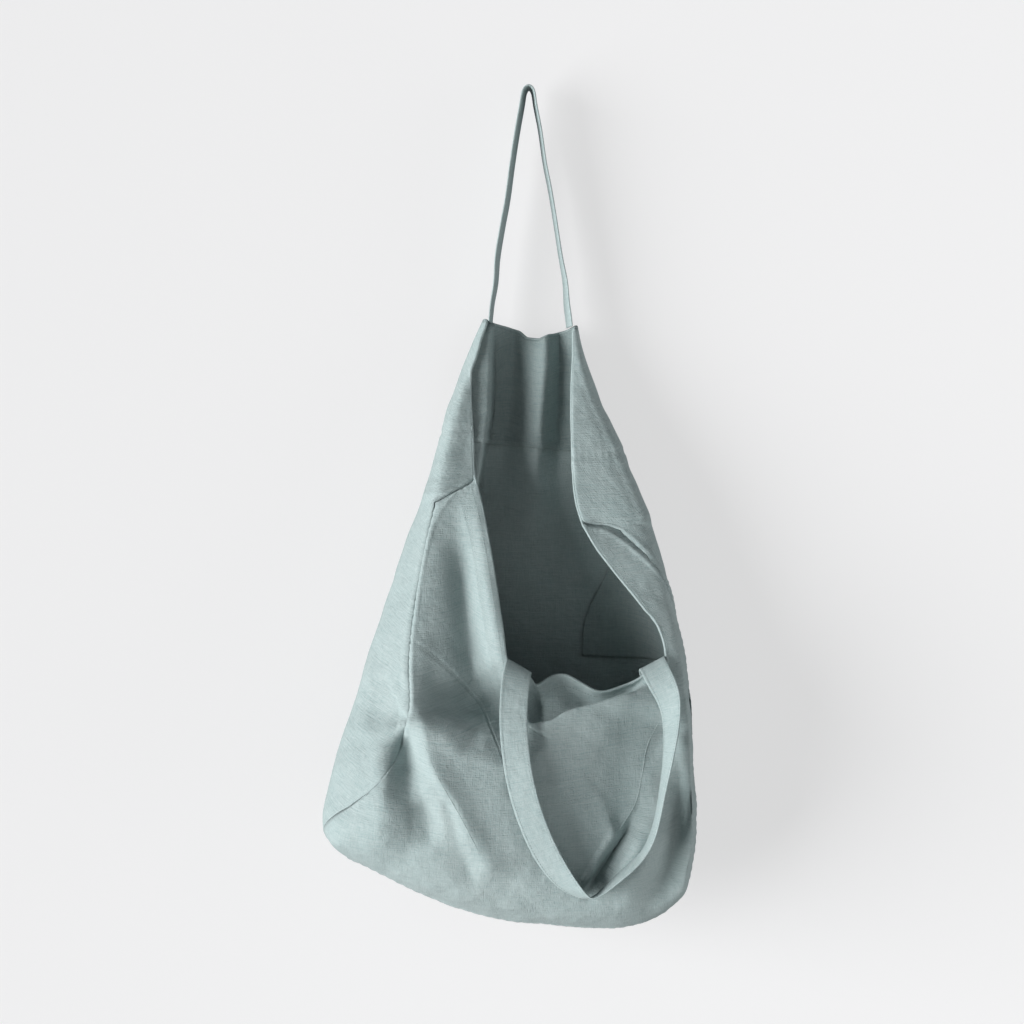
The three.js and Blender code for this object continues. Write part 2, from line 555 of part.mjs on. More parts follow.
// A handle as a flat strap with softened edges, swept along its line. turn is the direction of
// its width in the plane of the loop, outwards unless a row gives it, and roll turns the width
// from that plane towards the wall.
function strap(rows) {
  const turns = rows.map((r, i) => {
    const from = rows[Math.max(i - 1, 0)];
    const to = rows[Math.min(i + 1, rows.length - 1)];
    const found = (Math.atan2(from.x - to.x, to.z - from.z) * 180) / Math.PI;
    return r.turn ?? (found < 100 ? found + 360 : found);
  });
  const line = curve(rows.map((r) => new THREE.Vector3(r.x, r.y, r.z)));
  const angles = curve(rows.map((r, i) => new THREE.Vector3(r.roll, turns[i], 0)));
  const count = strapRows;
  const w = handleWidth / 2;
  const h = handleThickness / 2;
  const soft = 0.6;
  const section = [
    [-w, -h + soft], [-w + soft, -h], [w - soft, -h], [w, -h + soft],
    [w, h - soft], [w - soft, h], [-w + soft, h], [-w, h - soft],
  ];
  const points = [];
  const faces = [];
  for (let i = 0; i <= count; i += 1) {
    const t = line.getUtoTmapping(i / count);
    const p = line.getPoint(t);
    const tangent = line.getTangent(t);
    const angle = angles.getPoint(t).multiplyScalar(Math.PI / 180);
    const outward = new THREE.Vector3(Math.cos(angle.y), 0, Math.sin(angle.y));
    const wall = new THREE.Vector3(0, 1, 0);
    const width = outward.multiplyScalar(Math.cos(angle.x)).addScaledVector(wall, Math.sin(angle.x));
    width.addScaledVector(tangent, -width.dot(tangent)).normalize();
    const face = tangent.clone().cross(width).normalize();
    section.forEach(([a, b]) => {
      const q = p.clone().addScaledVector(width, a).addScaledVector(face, b);
      points.push(q.x, q.y, q.z);
    });
  }
  const n = section.length;
  for (let i = 0; i < count; i += 1) {
    for (let k = 0; k < n; k += 1) {
      const a = i * n + k;
      const b = i * n + ((k + 1) % n);
      faces.push(a, b, b + n, a, b + n, a + n);
    }
  }
  for (let k = 1; k < n - 1; k += 1) {
    faces.push(0, k + 1, k);
    faces.push(count * n, count * n + k, count * n + k + 1);
  }
  const geometry = new THREE.BufferGeometry();
  geometry.setAttribute("position", new THREE.Float32BufferAttribute(points, 3));
  geometry.setIndex(faces);
  return geometry;
}

const group = new THREE.Group();
function add(name, geometry, colour) {
  const material = new THREE.MeshStandardMaterial({ color: colour, roughness: 0.9, metalness: 0 });
  const mesh = new THREE.Mesh(geometry, material);
  mesh.name = name;
  group.add(mesh);
}

const linen = 0xa9bcbb;
const lining = 0x93a5a4;
add("back_panel", sheet(backGrid, backNormals, -1, 0, wallThickness, { seamFrom: hemRows }), linen);
add("front_panel", sheet(frontGrid, frontNormals, 1, 0, wallThickness), linen);

// The facing lies inside both panels and is a strip as deep all along the hem.
const facingLow = -facingGap - facingThickness;
const sideRows = hemRows + bandRows + facingBodyRows;
const beside = (c) => c < facingColumns || c >= columns - facingColumns;
const backFacing = (r, c) => r < facingHemRows || (r < sideRows && beside(c));
const frontFacing = (r) => r < bandRows + facingBodyRows;
const back = 2 * clearance;
const inBack = { keep: backFacing, seamFrom: hemRows, back };
const inFront = { keep: frontFacing, back };
add("back_facing", sheet(backGrid, backNormals, -1, facingLow, -facingGap, inBack), lining);
add("front_facing", sheet(frontGrid, frontNormals, 1, facingLow, -facingGap, inFront), lining);

const backLine = backHandle.map((r) => ({
  x: r.x * bagWidth,
  y: r.y * bagDepth,
  z: -r.down * handleRise,
  roll: r.down > 0.9 ? 90 : 84,
}));
add("back_handle", strap(backLine), linen);

const frontLine = frontHandle.map((r) => {
  const level = levelAt(r.x, r.down);
  const y = r.y ? r.y * bagDepth : front(acrossAt(r.x, level), level).y - r.off;
  return { x: r.x * bagWidth, y, z: -handleRise - r.down * bagDrop, turn: r.turn, roll: r.roll };
});
add("front_handle", strap(frontLine), linen);

export default group;
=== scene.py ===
# %% [markdown]
# # A linen tote as it hangs
# The object is a large soft shopper sewn from two panels of heavy linen. It hangs by its back handle,
# so the back panel is drawn up into a narrow peak while the front half sags open, folds over itself
# under its rim and lets the other handle fall forward.
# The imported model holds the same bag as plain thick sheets. Here each sheet is worked out again on a
# much finer grid, from the same tables, and gets its creases, hems, stitches and weave.

import bpy
import numpy as np
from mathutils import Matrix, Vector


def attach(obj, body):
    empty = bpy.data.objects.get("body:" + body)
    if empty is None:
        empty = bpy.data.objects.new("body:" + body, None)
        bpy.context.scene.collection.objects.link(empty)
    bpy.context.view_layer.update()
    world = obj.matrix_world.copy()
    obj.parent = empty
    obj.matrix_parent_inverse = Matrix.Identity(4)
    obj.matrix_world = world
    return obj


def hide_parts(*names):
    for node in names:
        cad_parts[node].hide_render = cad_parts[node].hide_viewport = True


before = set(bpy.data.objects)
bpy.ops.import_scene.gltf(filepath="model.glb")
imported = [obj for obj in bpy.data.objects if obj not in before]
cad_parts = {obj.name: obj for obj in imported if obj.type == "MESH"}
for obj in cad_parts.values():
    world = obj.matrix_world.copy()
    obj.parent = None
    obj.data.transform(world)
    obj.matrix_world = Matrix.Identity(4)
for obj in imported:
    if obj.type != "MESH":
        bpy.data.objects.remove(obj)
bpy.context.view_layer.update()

# %% [markdown]
# ## The camera
# The bag was seen from straight in front, at the height of its middle and from some way off. A long
# lens far away keeps its sides as parallel as that. One metre and 24 millimetres fit across the view.

# %% Place the camera
view_width = 1.024
view_distance = 5.0
view_centre = (-0.017, -0.06, -0.431)

camera_data = bpy.data.cameras.new("camera")
camera_data.sensor_width = 36
camera_data.lens = 36 * view_distance / view_width
camera = bpy.data.objects.new("camera", camera_data)
camera.location = (view_centre[0], view_centre[1] - view_distance, view_centre[2])
camera.rotation_euler = (np.pi / 2, 0, 0)
bpy.context.scene.collection.objects.link(camera)
bpy.context.scene.camera = camera

# %% [markdown]
# ## Sizes and tables
# The shapes below are worked out in millimetres and become metres when a mesh is made. The tables
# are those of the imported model: the outline of the hanging sack, how deep it is, where the hem runs
# and where the cloth is dented. Each becomes a smooth curve through its rows.

# %% Sizes
bag_width = 370
bag_drop = 607
bag_depth = 150
handle_rise = 237
handle_width = 28
wall = 1.2
facing_wall = 0.8
facing_gap = 1.0
hem_radius = 1.6
strap_thickness = 1.7
band_width = 16  # of the front below its hem, which is tucked in
tuck_depth = 0.18  # of that band, as a share of the depth
tuck_under = 9  # how far the fold's lip hangs below it
left_start = 0.262  # levels at which the front panel begins at either side
right_start = 0.335
seam_turn = 0.045  # levels in which the left seam reaches the fold line
side_span = 0.19  # of the front's share across, round either side
to_metres = 0.001
print("sack mm", bag_width, "wide", bag_drop, "tall", bag_depth, "deep")

# %% Tables
# Every length in these tables is a share: x of the width, down of the drop, depths of the depth.
# level, left, left down, right, right down, sag
outline = np.array([
    (0.0, -0.122, 0.0, 0.13, 0.013, 0.024),
    (0.04, -0.151, 0.04, 0.139, 0.041, 0.016),
    (0.09, -0.186, 0.089, 0.168, 0.089, 0.006),
    (0.143, -0.216, 0.143, 0.2, 0.14, 0),
    (0.2, -0.241, 0.201, 0.241, 0.198, 0),
    (0.255, -0.268, 0.255, 0.268, 0.255, 0),
    (0.305, -0.295, 0.305, 0.306, 0.308, 0),
    (0.382, -0.338, 0.382, 0.351, 0.387, 0),
    (0.465, -0.386, 0.465, 0.384, 0.47, 0),
    (0.555, -0.434, 0.555, 0.419, 0.555, 0),
    (0.645, -0.478, 0.643, 0.435, 0.649, 0),
    (0.727, -0.522, 0.722, 0.441, 0.735, 0.004),
    (0.8, -0.552, 0.789, 0.449, 0.819, 0.013),
    (0.86, -0.563, 0.83, 0.446, 0.876, 0.028),
    (0.91, -0.55, 0.856, 0.434, 0.916, 0.046),
    (0.95, -0.522, 0.874, 0.422, 0.942, 0.059),
    (1.0, -0.48, 0.892, 0.405, 0.957, 0.07),
])
# level, left fold, right fold, back, fold, front, pleat
girth = np.array([
    (0.0, -0.116, 0.126, 0.17, -0.093, -0.093, 0.1),
    (0.09, -0.162, 0.151, 0.17, -0.15, -0.15, 0.085),
    (0.143, -0.197, 0.178, 0.17, -0.19, -0.2, 0.07),
    (0.2, -0.222, 0.222, 0.17, -0.24, -0.26, 0.05),
    (0.305, -0.255, 0.301, 0.17, -0.34, -0.38, 0.02),
    (0.382, -0.284, 0.335, 0.17, -0.41, -0.47, 0),
    (0.465, -0.307, 0.37, 0.17, -0.48, -0.57, 0),
    (0.555, -0.323, 0.405, 0.17, -0.56, -0.69, 0),
    (0.645, -0.324, 0.424, 0.17, -0.63, -0.8, 0),
    (0.727, -0.36, 0.43, 0.16, -0.67, -0.84, 0),
    (0.8, -0.42, 0.436, 0.15, -0.68, -0.84, 0),
    (0.86, -0.465, 0.43, 0.11, -0.65, -0.79, 0),
    (0.91, -0.505, 0.417, 0.03, -0.58, -0.69, 0),
    (0.95, -0.5, 0.414, -0.09, -0.48, -0.55, 0),
    (1.0, -0.48, 0.405, -0.3, -0.3, -0.3, 0),
])
# level, left hem, right hem
mouth_sides = np.array([
    (0.0, -0.113, 0.122),
    (0.04, -0.135, 0.122),
    (0.09, -0.158, 0.118),
    (0.143, -0.159, 0.116),
    (0.2, -0.153, 0.117),
    (0.255, -0.149, 0.12),
    (0.305, -0.13, 0.13),
    (0.35, -0.115, 0.157),
    (0.4, -0.1, 0.215),
    (0.465, -0.084, 0.3),
    (0.52, -0.07, 0.363),
    (0.555, -0.063, 0.388),
])
# the front hem where it sags: x, down, how far down the tucked band's edge lies, tuck
rim = np.array([
    (-0.06, 0.567, 0.085, 0.05),
    (-0.022, 0.576, 0.093, 0.25),
    (0.003, 0.593, 0.076, 0.7),
    (0.03, 0.603, 0.061, 1),
    (0.06, 0.591, 0.067, 1),
    (0.1, 0.589, 0.055, 1),
    (0.143, 0.603, 0.034, 1),
    (0.192, 0.615, 0.015, 0.9),
    (0.26, 0.605, 0.012, 0.8),
    (0.314, 0.586, 0.018, 0.45),
    (0.345, 0.574, 0.024, 0.15),
    (0.371, 0.562, 0.034, 0),
])
# broad dents and ridges: x, down, to x, to down, width, rise
folds = np.array([
    (-0.18, 0.4, -0.16, 0.56, 0.036, -0.08),
    (-0.24, 0.625, -0.09, 0.635, 0.045, -0.11),
    (-0.33, 0.7, -0.345, 0.76, 0.035, -0.09),
    (-0.3, 0.7, -0.11, 0.9, 0.03, 0.045),
    (-0.255, 0.76, -0.25, 0.86, 0.028, 0.03),
    (0.39, 0.78, 0.35, 0.92, 0.04, -0.07),
    (0.33, 0.72, 0.23, 0.86, 0.035, 0.035),
])
print("rows", [len(table) for table in (outline, girth, mouth_sides, rim, folds)])


# %% Curves through the tables
def eased(t):
    """From 0 to 1 with a level start and end."""
    t = np.clip(t, 0, 1)
    return t * t * (3 - 2 * t)


def lerp(a, b, t):
    """The value a share t of the way from a to b."""
    return a + (b - a) * t


def unit(vectors):
    """The same directions with a length of one."""
    return vectors / np.maximum(np.linalg.norm(vectors, axis=-1, keepdims=True), 1e-9)


def run_along(line):
    """The distance run along a line of points at each of them, from 0."""
    return np.concatenate([[0], np.cumsum(np.linalg.norm(np.diff(line, axis=0), axis=1))])


def sampled(at, run, values):
    """Rows of values looked up at distances run, straight between two rows."""
    return np.stack([np.interp(at, run, column) for column in values.T], -1)


def ring_faces(number):
    """Four-cornered faces between each row of point numbers and the next, closed round each row."""
    beside = np.roll(number, -1, 1)
    return np.stack([number[:-1], beside[:-1], beside[1:], number[1:]], -1).reshape(-1, 4)


def through(table, column):
    """A cubic between each two rows. Its slope at a row runs from the row before to the row after."""
    key, value = table[:, 0], table[:, column]
    before = np.maximum(np.arange(len(key)) - 1, 0)
    after = np.minimum(np.arange(len(key)) + 1, len(key) - 1)
    slope = (value[after] - value[before]) / (key[after] - key[before])

    def curve(at):
        i = np.clip(np.searchsorted(key, at) - 1, 0, len(key) - 2)
        span = key[i + 1] - key[i]
        t = (at - key[i]) / span
        return (
            value[i] * (1 - 3 * t**2 + 2 * t**3)
            + value[i + 1] * (3 * t**2 - 2 * t**3)
            + slope[i] * span * (t - 2 * t**2 + t**3)
            + slope[i + 1] * span * (t**3 - t**2)
        )

    return curve


left, left_down, right, right_down, sag = [through(outline, k) for k in range(1, 6)]
left_fold, right_fold, back_depth = [through(girth, k) for k in (1, 2, 3)]
fold_depth, front_depth, pleat = [through(girth, k) for k in (4, 5, 6)]
left_hem, right_hem = [through(mouth_sides, k) for k in (1, 2)]


def left_edge(level):
    """The left side seam: from the hem over to the fold line, and down along it."""
    return lerp(left_hem(left_start), left_fold(level), eased((level - left_start) / seam_turn))


# %% [markdown]
# ## The front surface
# A place on the front is given by a share across, from one fold line to the other, and a level, from
# 0 at the back hem to 1 at the bottom seam. Under 0 and over 1 it runs on round the sides.

# %% Heights and folds
def height(level, x):
    """Sections tilt from side to side and sag in the middle, most near the hem and the bottom."""
    q = np.clip((x - left(level)) / (right(level) - left(level)), 0, 1)
    belly = 1 - np.abs(2 * q**1.25 - 1) ** (2.6 + 1.4 * q * eased((level - 0.5) / 0.4))
    down = lerp(left_down(level), right_down(level), q) + sag(level) * belly
    return -handle_rise - bag_drop * down


def near_line(x, z, x0, z0, x1, z1):
    """Distance of each place from a straight line between two places, and its share along it."""
    dx, dz = x1 - x0, z1 - z0
    t = np.clip(((x - x0) * dx + (z - z0) * dz) / (dx * dx + dz * dz), 0, 1)
    return np.hypot(x - x0 - t * dx, z - z0 - t * dz), t


def fold_rise(x, z):
    """The sum of one rounded ridge or dent along each line of the table."""
    total = np.zeros_like(x)
    for fx, down, to_x, to_down, width, rise in folds:
        top, bottom = -handle_rise - down * bag_drop, -handle_rise - to_down * bag_drop
        away, _ = near_line(x, z, fx * bag_width, top, to_x * bag_width, bottom)
        total += rise * bag_depth * np.exp(-((away / (width * bag_width)) ** 2))
    return total


# %% The front as a surface
def front(across, level):
    """A crown between the fold lines, and a quarter turn round each side beyond them."""
    beyond = np.maximum(np.maximum(-across, across - 1), 0) / side_span
    turn = np.minimum(beyond, 1) * np.pi / 2
    middle = (fold_depth(level) + back_depth(level)) / 2
    share = np.clip(across, 0, 1)
    side = np.where(across < 0, left(level) - left_fold(level), right(level) - right_fold(level))
    x = lerp(left_fold(level), right_fold(level), share) + side * np.sin(turn)
    lean = lerp(1, 0.68, eased((level - 0.5) / 0.2))
    crown = 1 - np.abs(2 * share**lean - 1) ** 2.2
    ahead = lerp(fold_depth(level), front_depth(level), crown)
    y = (ahead + (middle - fold_depth(level)) * (1 - np.cos(turn))) * bag_depth
    z = height(level, x)
    x = x * bag_width
    return np.stack([x, y - fold_rise(x, z), z], -1)


def level_at(x, down):
    """The level whose section passes a place, found by halving."""
    low, high = np.zeros_like(x), np.ones_like(x)
    for _ in range(40):
        middle = (low + high) / 2
        above = -handle_rise - bag_drop * down < height(middle, x)
        low, high = np.where(above, middle, low), np.where(above, high, middle)
    return low


def across_at(x, level):
    """The share across of an x."""
    return (x - left_fold(level)) / (right_fold(level) - left_fold(level))


# %% [markdown]
# ## The back panel
# Each of its places lies on a section seen from above: from the left seam round the left side, over
# the back and round the right side. The section is a curve through ten stations, walked in equal
# steps, so the cloth keeps even squares.

# %% A curve through points
def spline(points, t):
    """A curve through rows of points at shares t, paced by the roots of their distances."""
    ends = 2 * points[..., :1, :] - points[..., 1:2, :], 2 * points[..., -1:, :] - points[..., -2:-1, :]
    every = np.concatenate([ends[0], points, ends[1]], -2)
    last = points.shape[-2] - 1
    i = np.clip(np.floor(t * last), 0, last - 1).astype(int)
    w = (t * last - i)[..., None]
    p = [np.take_along_axis(every, (i + k)[..., None], -2) for k in range(4)]
    length = [np.linalg.norm(p[k + 1] - p[k], axis=-1, keepdims=True) for k in range(3)]
    gap = [np.maximum(one, 1e-6) ** 0.5 for one in length]
    slope = [(p[k + 1] - p[k]) / gap[k] for k in range(3)]
    start = (slope[0] - (p[2] - p[0]) / (gap[0] + gap[1]) + slope[1]) * gap[1]
    stop = (slope[1] - (p[3] - p[1]) / (gap[1] + gap[2]) + slope[2]) * gap[1]
    square = -3 * p[1] + 3 * p[2] - 2 * start - stop
    cube = 2 * p[1] - 2 * p[2] + start + stop
    return p[1] + start * w + square * w**2 + cube * w**3


def spread(points, share):
    """The point a share of the way along each line of points."""
    steps = np.linalg.norm(np.diff(points, axis=1), axis=-1)
    runs = np.concatenate([np.zeros((len(points), 1)), np.cumsum(steps, 1)], 1)
    target = share * runs[:, -1]
    i = np.clip((runs < target[:, None] - 1e-9).sum(1), 1, points.shape[1] - 1)
    rows = np.arange(len(points))
    part = (target - runs[rows, i - 1]) / np.maximum(runs[rows, i] - runs[rows, i - 1], 1e-9)
    return points[rows, i - 1] + (points[rows, i] - points[rows, i - 1]) * part[:, None]


# %% The section round the back
def left_turn(level):
    """Low down the left seam comes half way round the side."""
    return eased((level - 0.72) / 0.22)


def back_places(level, turn, share):
    """For each level, the place at a share along its section. turn moves the right end to the seam."""
    middle = (fold_depth(level) + back_depth(level)) / 2
    width = right(level) - left(level)
    corner = lerp(0.075, 0.12, eased(level / 0.4)) * width
    shoulder = lerp(0.385, 0.3, eased(level / 0.5)) * width
    first = np.where(level < left_start, left_hem(level), left_edge(level))
    final = np.minimum(right_hem(np.minimum(level, 0.55)), right_fold(level) - 0.004)
    from_left, from_right = (0 * corner, corner, shoulder), (shoulder, corner, 0 * corner)
    xs = [
        first, left_fold(level), *[left(level) + part for part in from_left],
        *[right(level) - part for part in from_right], right_fold(level), final,
    ]
    fold, back = fold_depth(level), back_depth(level)
    ys = [fold, fold, middle, back - pleat(level), back, back, back - pleat(level), middle, fold, fold]
    stations = np.stack([np.stack(xs, -1) * bag_width, np.stack(ys, -1) * bag_depth], -1)
    out = np.zeros((len(level), 2))
    without_hem = first - left_fold(level) < 0.004
    for chosen, part in ((~without_hem, stations), (without_hem, stations[:, 1:])):
        if not chosen.any():
            continue
        count = part.shape[1] - 1
        begin = left_turn(level[chosen]) / count
        end = 1 - 2 * turn[chosen] / count
        t = lerp(begin[:, None], end[:, None], np.linspace(0, 1, 161)[None, :])
        out[chosen] = spread(spline(part[chosen], t), share[chosen])
    x, y = out.T
    z = height(level, x / bag_width)
    depth = np.maximum((back_depth(level) - fold_depth(level)) * bag_depth, 1)
    forward = np.clip((back_depth(level) * bag_depth - y) / depth, 0, 1)
    return np.stack([x, y - fold_rise(x, z) * forward**2, z], -1)


# %% Rows of the back panel
hem_rows, band_rows, body_rows = 7 * 6, 6 * 4, 15 * 10
columns, front_columns = 34 * 6, 34 * 8
left_band = left_start + band_width / bag_drop
right_band = right_start + 0.003
corner_turn = 0.17


def shares(count):
    """Equal steps from 0 to 1."""
    return np.linspace(0, 1, count + 1)


def drop(t):
    """Rows lie a little closer together low down."""
    return 1 - (1 - t) ** 1.12


body_steps = shares(body_rows)[1:]
row_left = np.concatenate([
    shares(hem_rows) * left_start,
    lerp(left_start, left_band, shares(band_rows)[1:]),
    lerp(left_band, 1, drop(body_steps)),
])
row_right = np.concatenate([
    shares(hem_rows) * right_start,
    lerp(right_start, right_band, shares(band_rows)[1:]),
    lerp(right_band, 1, drop(body_steps)),
])
row_turn = np.concatenate([
    np.zeros(hem_rows + 1),
    shares(band_rows)[1:] * corner_turn,
    lerp(corner_turn, 1, eased((body_steps + 0.05) / 0.33)),
])
across_share = np.broadcast_to(shares(columns), (len(row_left), columns + 1))
levels = lerp(row_left[:, None], row_right[:, None], shares(columns)[None, :])
turns = np.broadcast_to(row_turn[:, None], levels.shape)
back_grid = back_places(levels.ravel(), turns.ravel(), across_share.ravel()).reshape(*levels.shape, 3)
print("back panel grid", back_grid.shape)

# %% [markdown]
# ## The front panel
# Its top edge is the hem: down the left side of the mouth, along the sagging rim and up the right
# side. A band below the hem is tucked in behind the fold that the cloth makes under its own rim. From
# there the cloth is blended smoothly down to the side seams and the bottom seam.

# %% The hem and the fold under it
def seam_across(level, turn):
    """The right seam as a share across: from the hem to the fold line, then on round the side."""
    hem = across_at(right_hem(np.minimum(level, 0.55)), level)
    return np.where(turn < 0.5, lerp(hem, 1, 2 * turn), 1 + side_span * (2 * turn - 1))


left_corner = np.array([across_at(left_edge(left_band), left_band), left_band])
right_corner = np.array([seam_across(right_band, corner_turn), right_band])


def side_places(t, hem, start, way, corner):
    """Hem and band edge beside the mouth. A row holds across, level, tuck, then across and level."""
    level = lerp(start, 0.51, t)
    near = 1 - eased(t / 0.25)
    low = eased((t - 0.6) / 0.5)
    across = across_at(hem(level), level)
    reach = band_width / bag_width * (1 - 0.3 * low) * way
    beside = across + reach / (right_fold(level) - left_fold(level))
    under = level + 0.012 + 0.045 * low
    edge = lerp(beside, corner[0], near), lerp(under, corner[1], near)
    return np.stack([across, level, 0 * t, *edge], -1)


rim_level = level_at(rim[:, 0], rim[:, 1])
rim_under = level_at(rim[:, 0], rim[:, 1] + rim[:, 2])
rim_places = np.stack([
    across_at(rim[:, 0], rim_level), rim_level, rim[:, 3], across_at(rim[:, 0], rim_under), rim_under,
], -1)
hem_places = np.concatenate([
    side_places(shares(7), left_hem, left_start, -1, left_corner),
    rim_places,
    side_places(shares(5), right_hem, right_start, 1, right_corner)[::-1],
])
fine = shares(2400)
fine_hem = spline(hem_places[None, :, :3], fine[None, :])[0]
fine_places = front(fine_hem[:, 0], fine_hem[:, 1])
hem_runs = run_along(fine_places)
starts = np.interp(shares(front_columns) * hem_runs[-1], hem_runs, fine)
hem_line = spline(hem_places[None, :, :3], starts[None, :])[0]
edge_places = np.concatenate([hem_places[:, 3:], 0 * hem_places[:, :1]], 1)
edge_line = spline(edge_places[None], starts[None, :])[0]
print("hem length mm", round(hem_runs[-1]))


# %% Smooth a grid
def relaxed(grid, passes, kept=0.0):
    """Each inner place moves half way to the mean of its four neighbours, near ones counting more."""
    grid = grid.copy()
    for _ in range(passes):
        inner = grid[1:-1, 1:-1]
        near = [grid[:-2, 1:-1], grid[2:, 1:-1], grid[1:-1, :-2], grid[1:-1, 2:]]
        away = [np.linalg.norm(n - inner, axis=-1, keepdims=True) for n in near]
        weights = [1 / np.maximum(one, 0.06) for one in away]
        mean = sum(w * n for w, n in zip(weights, near)) / sum(weights)
        grid[1:-1, 1:-1] = inner + (mean - inner) * 0.5 * (1 - kept)
    return grid


# %% Rows of the front panel
def join_sides():
    """The front panel's sides lie on those of the back panel below its hem."""
    front_grid[:, 0] = back_grid[hem_rows:, 0]
    front_grid[:, -1] = back_grid[hem_rows:, -1]


def join_bottom():
    """Its last row lies on the back panel's, at its own shares along it."""
    line = np.broadcast_to(back_grid[-1], (front_columns + 1, columns + 1, 3))
    front_grid[-1] = spread(line, shares(front_columns))


band_steps = shares(band_rows)[:, None]
place = front(*[lerp(hem_line[:, k], edge_line[:, k], band_steps) for k in (0, 1)])
tuck = np.clip(hem_line[:, 2], 0, 1)[None, :]
hollow = np.sin(np.pi * band_steps)
place[..., 1] += tuck * (1 - band_steps**6) * bag_depth * tuck_depth * (1 + 0.45 * tuck * hollow)
lip = 0.84  # where the fold's lip lies across the band
place[..., 2] -= tuck**2 * tuck_under * eased(band_steps / lip) * (1 - eased((band_steps - lip) / 0.16))

body_t = drop(shares(body_rows))[:, None]
s = shares(front_columns)[None, :]
body_left = row_left[hem_rows + band_rows:][:, None]
body_right = row_right[hem_rows + band_rows:][:, None]
body_turn = row_turn[hem_rows + band_rows:][:, None]
start_side = (across_at(left_edge(body_left), body_left) - side_span * left_turn(body_left), body_left)
end_side = (seam_across(body_right, body_turn), body_right)
bottom = (lerp(-side_span, 1 + side_span, s), np.ones_like(s))
body = []
for k in (0, 1):
    corners = (1 - s) * left_corner[k] + s * right_corner[k]
    low_corners = (1 - s) * (-side_span if k == 0 else 1) + s * (1 + side_span if k == 0 else 1)
    body.append(
        (1 - body_t) * edge_line[None, :, k] + body_t * bottom[k]
        + (1 - s) * start_side[k] + s * end_side[k]
        - (1 - body_t) * corners - body_t * low_corners
    )
body = np.stack(body, -1)
for _ in range(240):
    inner = body[1:-1, 1:-1]
    mean = (body[:-2, 1:-1] + body[2:, 1:-1] + body[1:-1, :-2] + body[1:-1, 2:]) / 4
    body[1:-1, 1:-1] = inner + (mean - inner) * 0.5
front_grid = np.concatenate([place, front(body[1:, :, 0], body[1:, :, 1])])
join_sides()
join_bottom()
print("front panel grid", front_grid.shape)

# %% Smooth both panels
tucked = np.zeros((front_grid.shape[0], front_columns + 1, 1))
tucked[: band_rows + 1, :, 0] = np.clip(hem_line[:, 2] * 1.2, 0, 1)
back_grid = relaxed(back_grid, 26)

# two notches in the back hem, where the cloth is gathered between the roots of the handle
notch_x = np.array([-45, -39, -22, -9, -2, 12, 19, 30, 46, 52])
notch_rise = np.array([0, 0, 4.5, 5.5, 0.0, -0.5, 4.5, 5.5, 2.5, 0])
notched = np.interp(back_grid[..., 0], notch_x, notch_rise) * (back_grid[..., 1] > -1)
back_grid[..., 2] += notched * (1 - eased((-245 - back_grid[..., 2]) / 60))
front_grid = relaxed(front_grid, 60, tucked[1:-1, 1:-1])
print("notch heights mm", notch_rise.max())

# %% [markdown]
# ## Creases
# The broad dents of the model give the sack its sag. What makes it read as linen is the sharper work
# of the cloth on top of them: edges where it is pulled straight, with one steep and one easy side,
# and the hollows between them. A simulated cloth would find folds of its own, but not these. So each
# line below is followed from place to place, with its rise and how far it reaches to both sides.
# They are pressed into the panels after these have been smoothed.

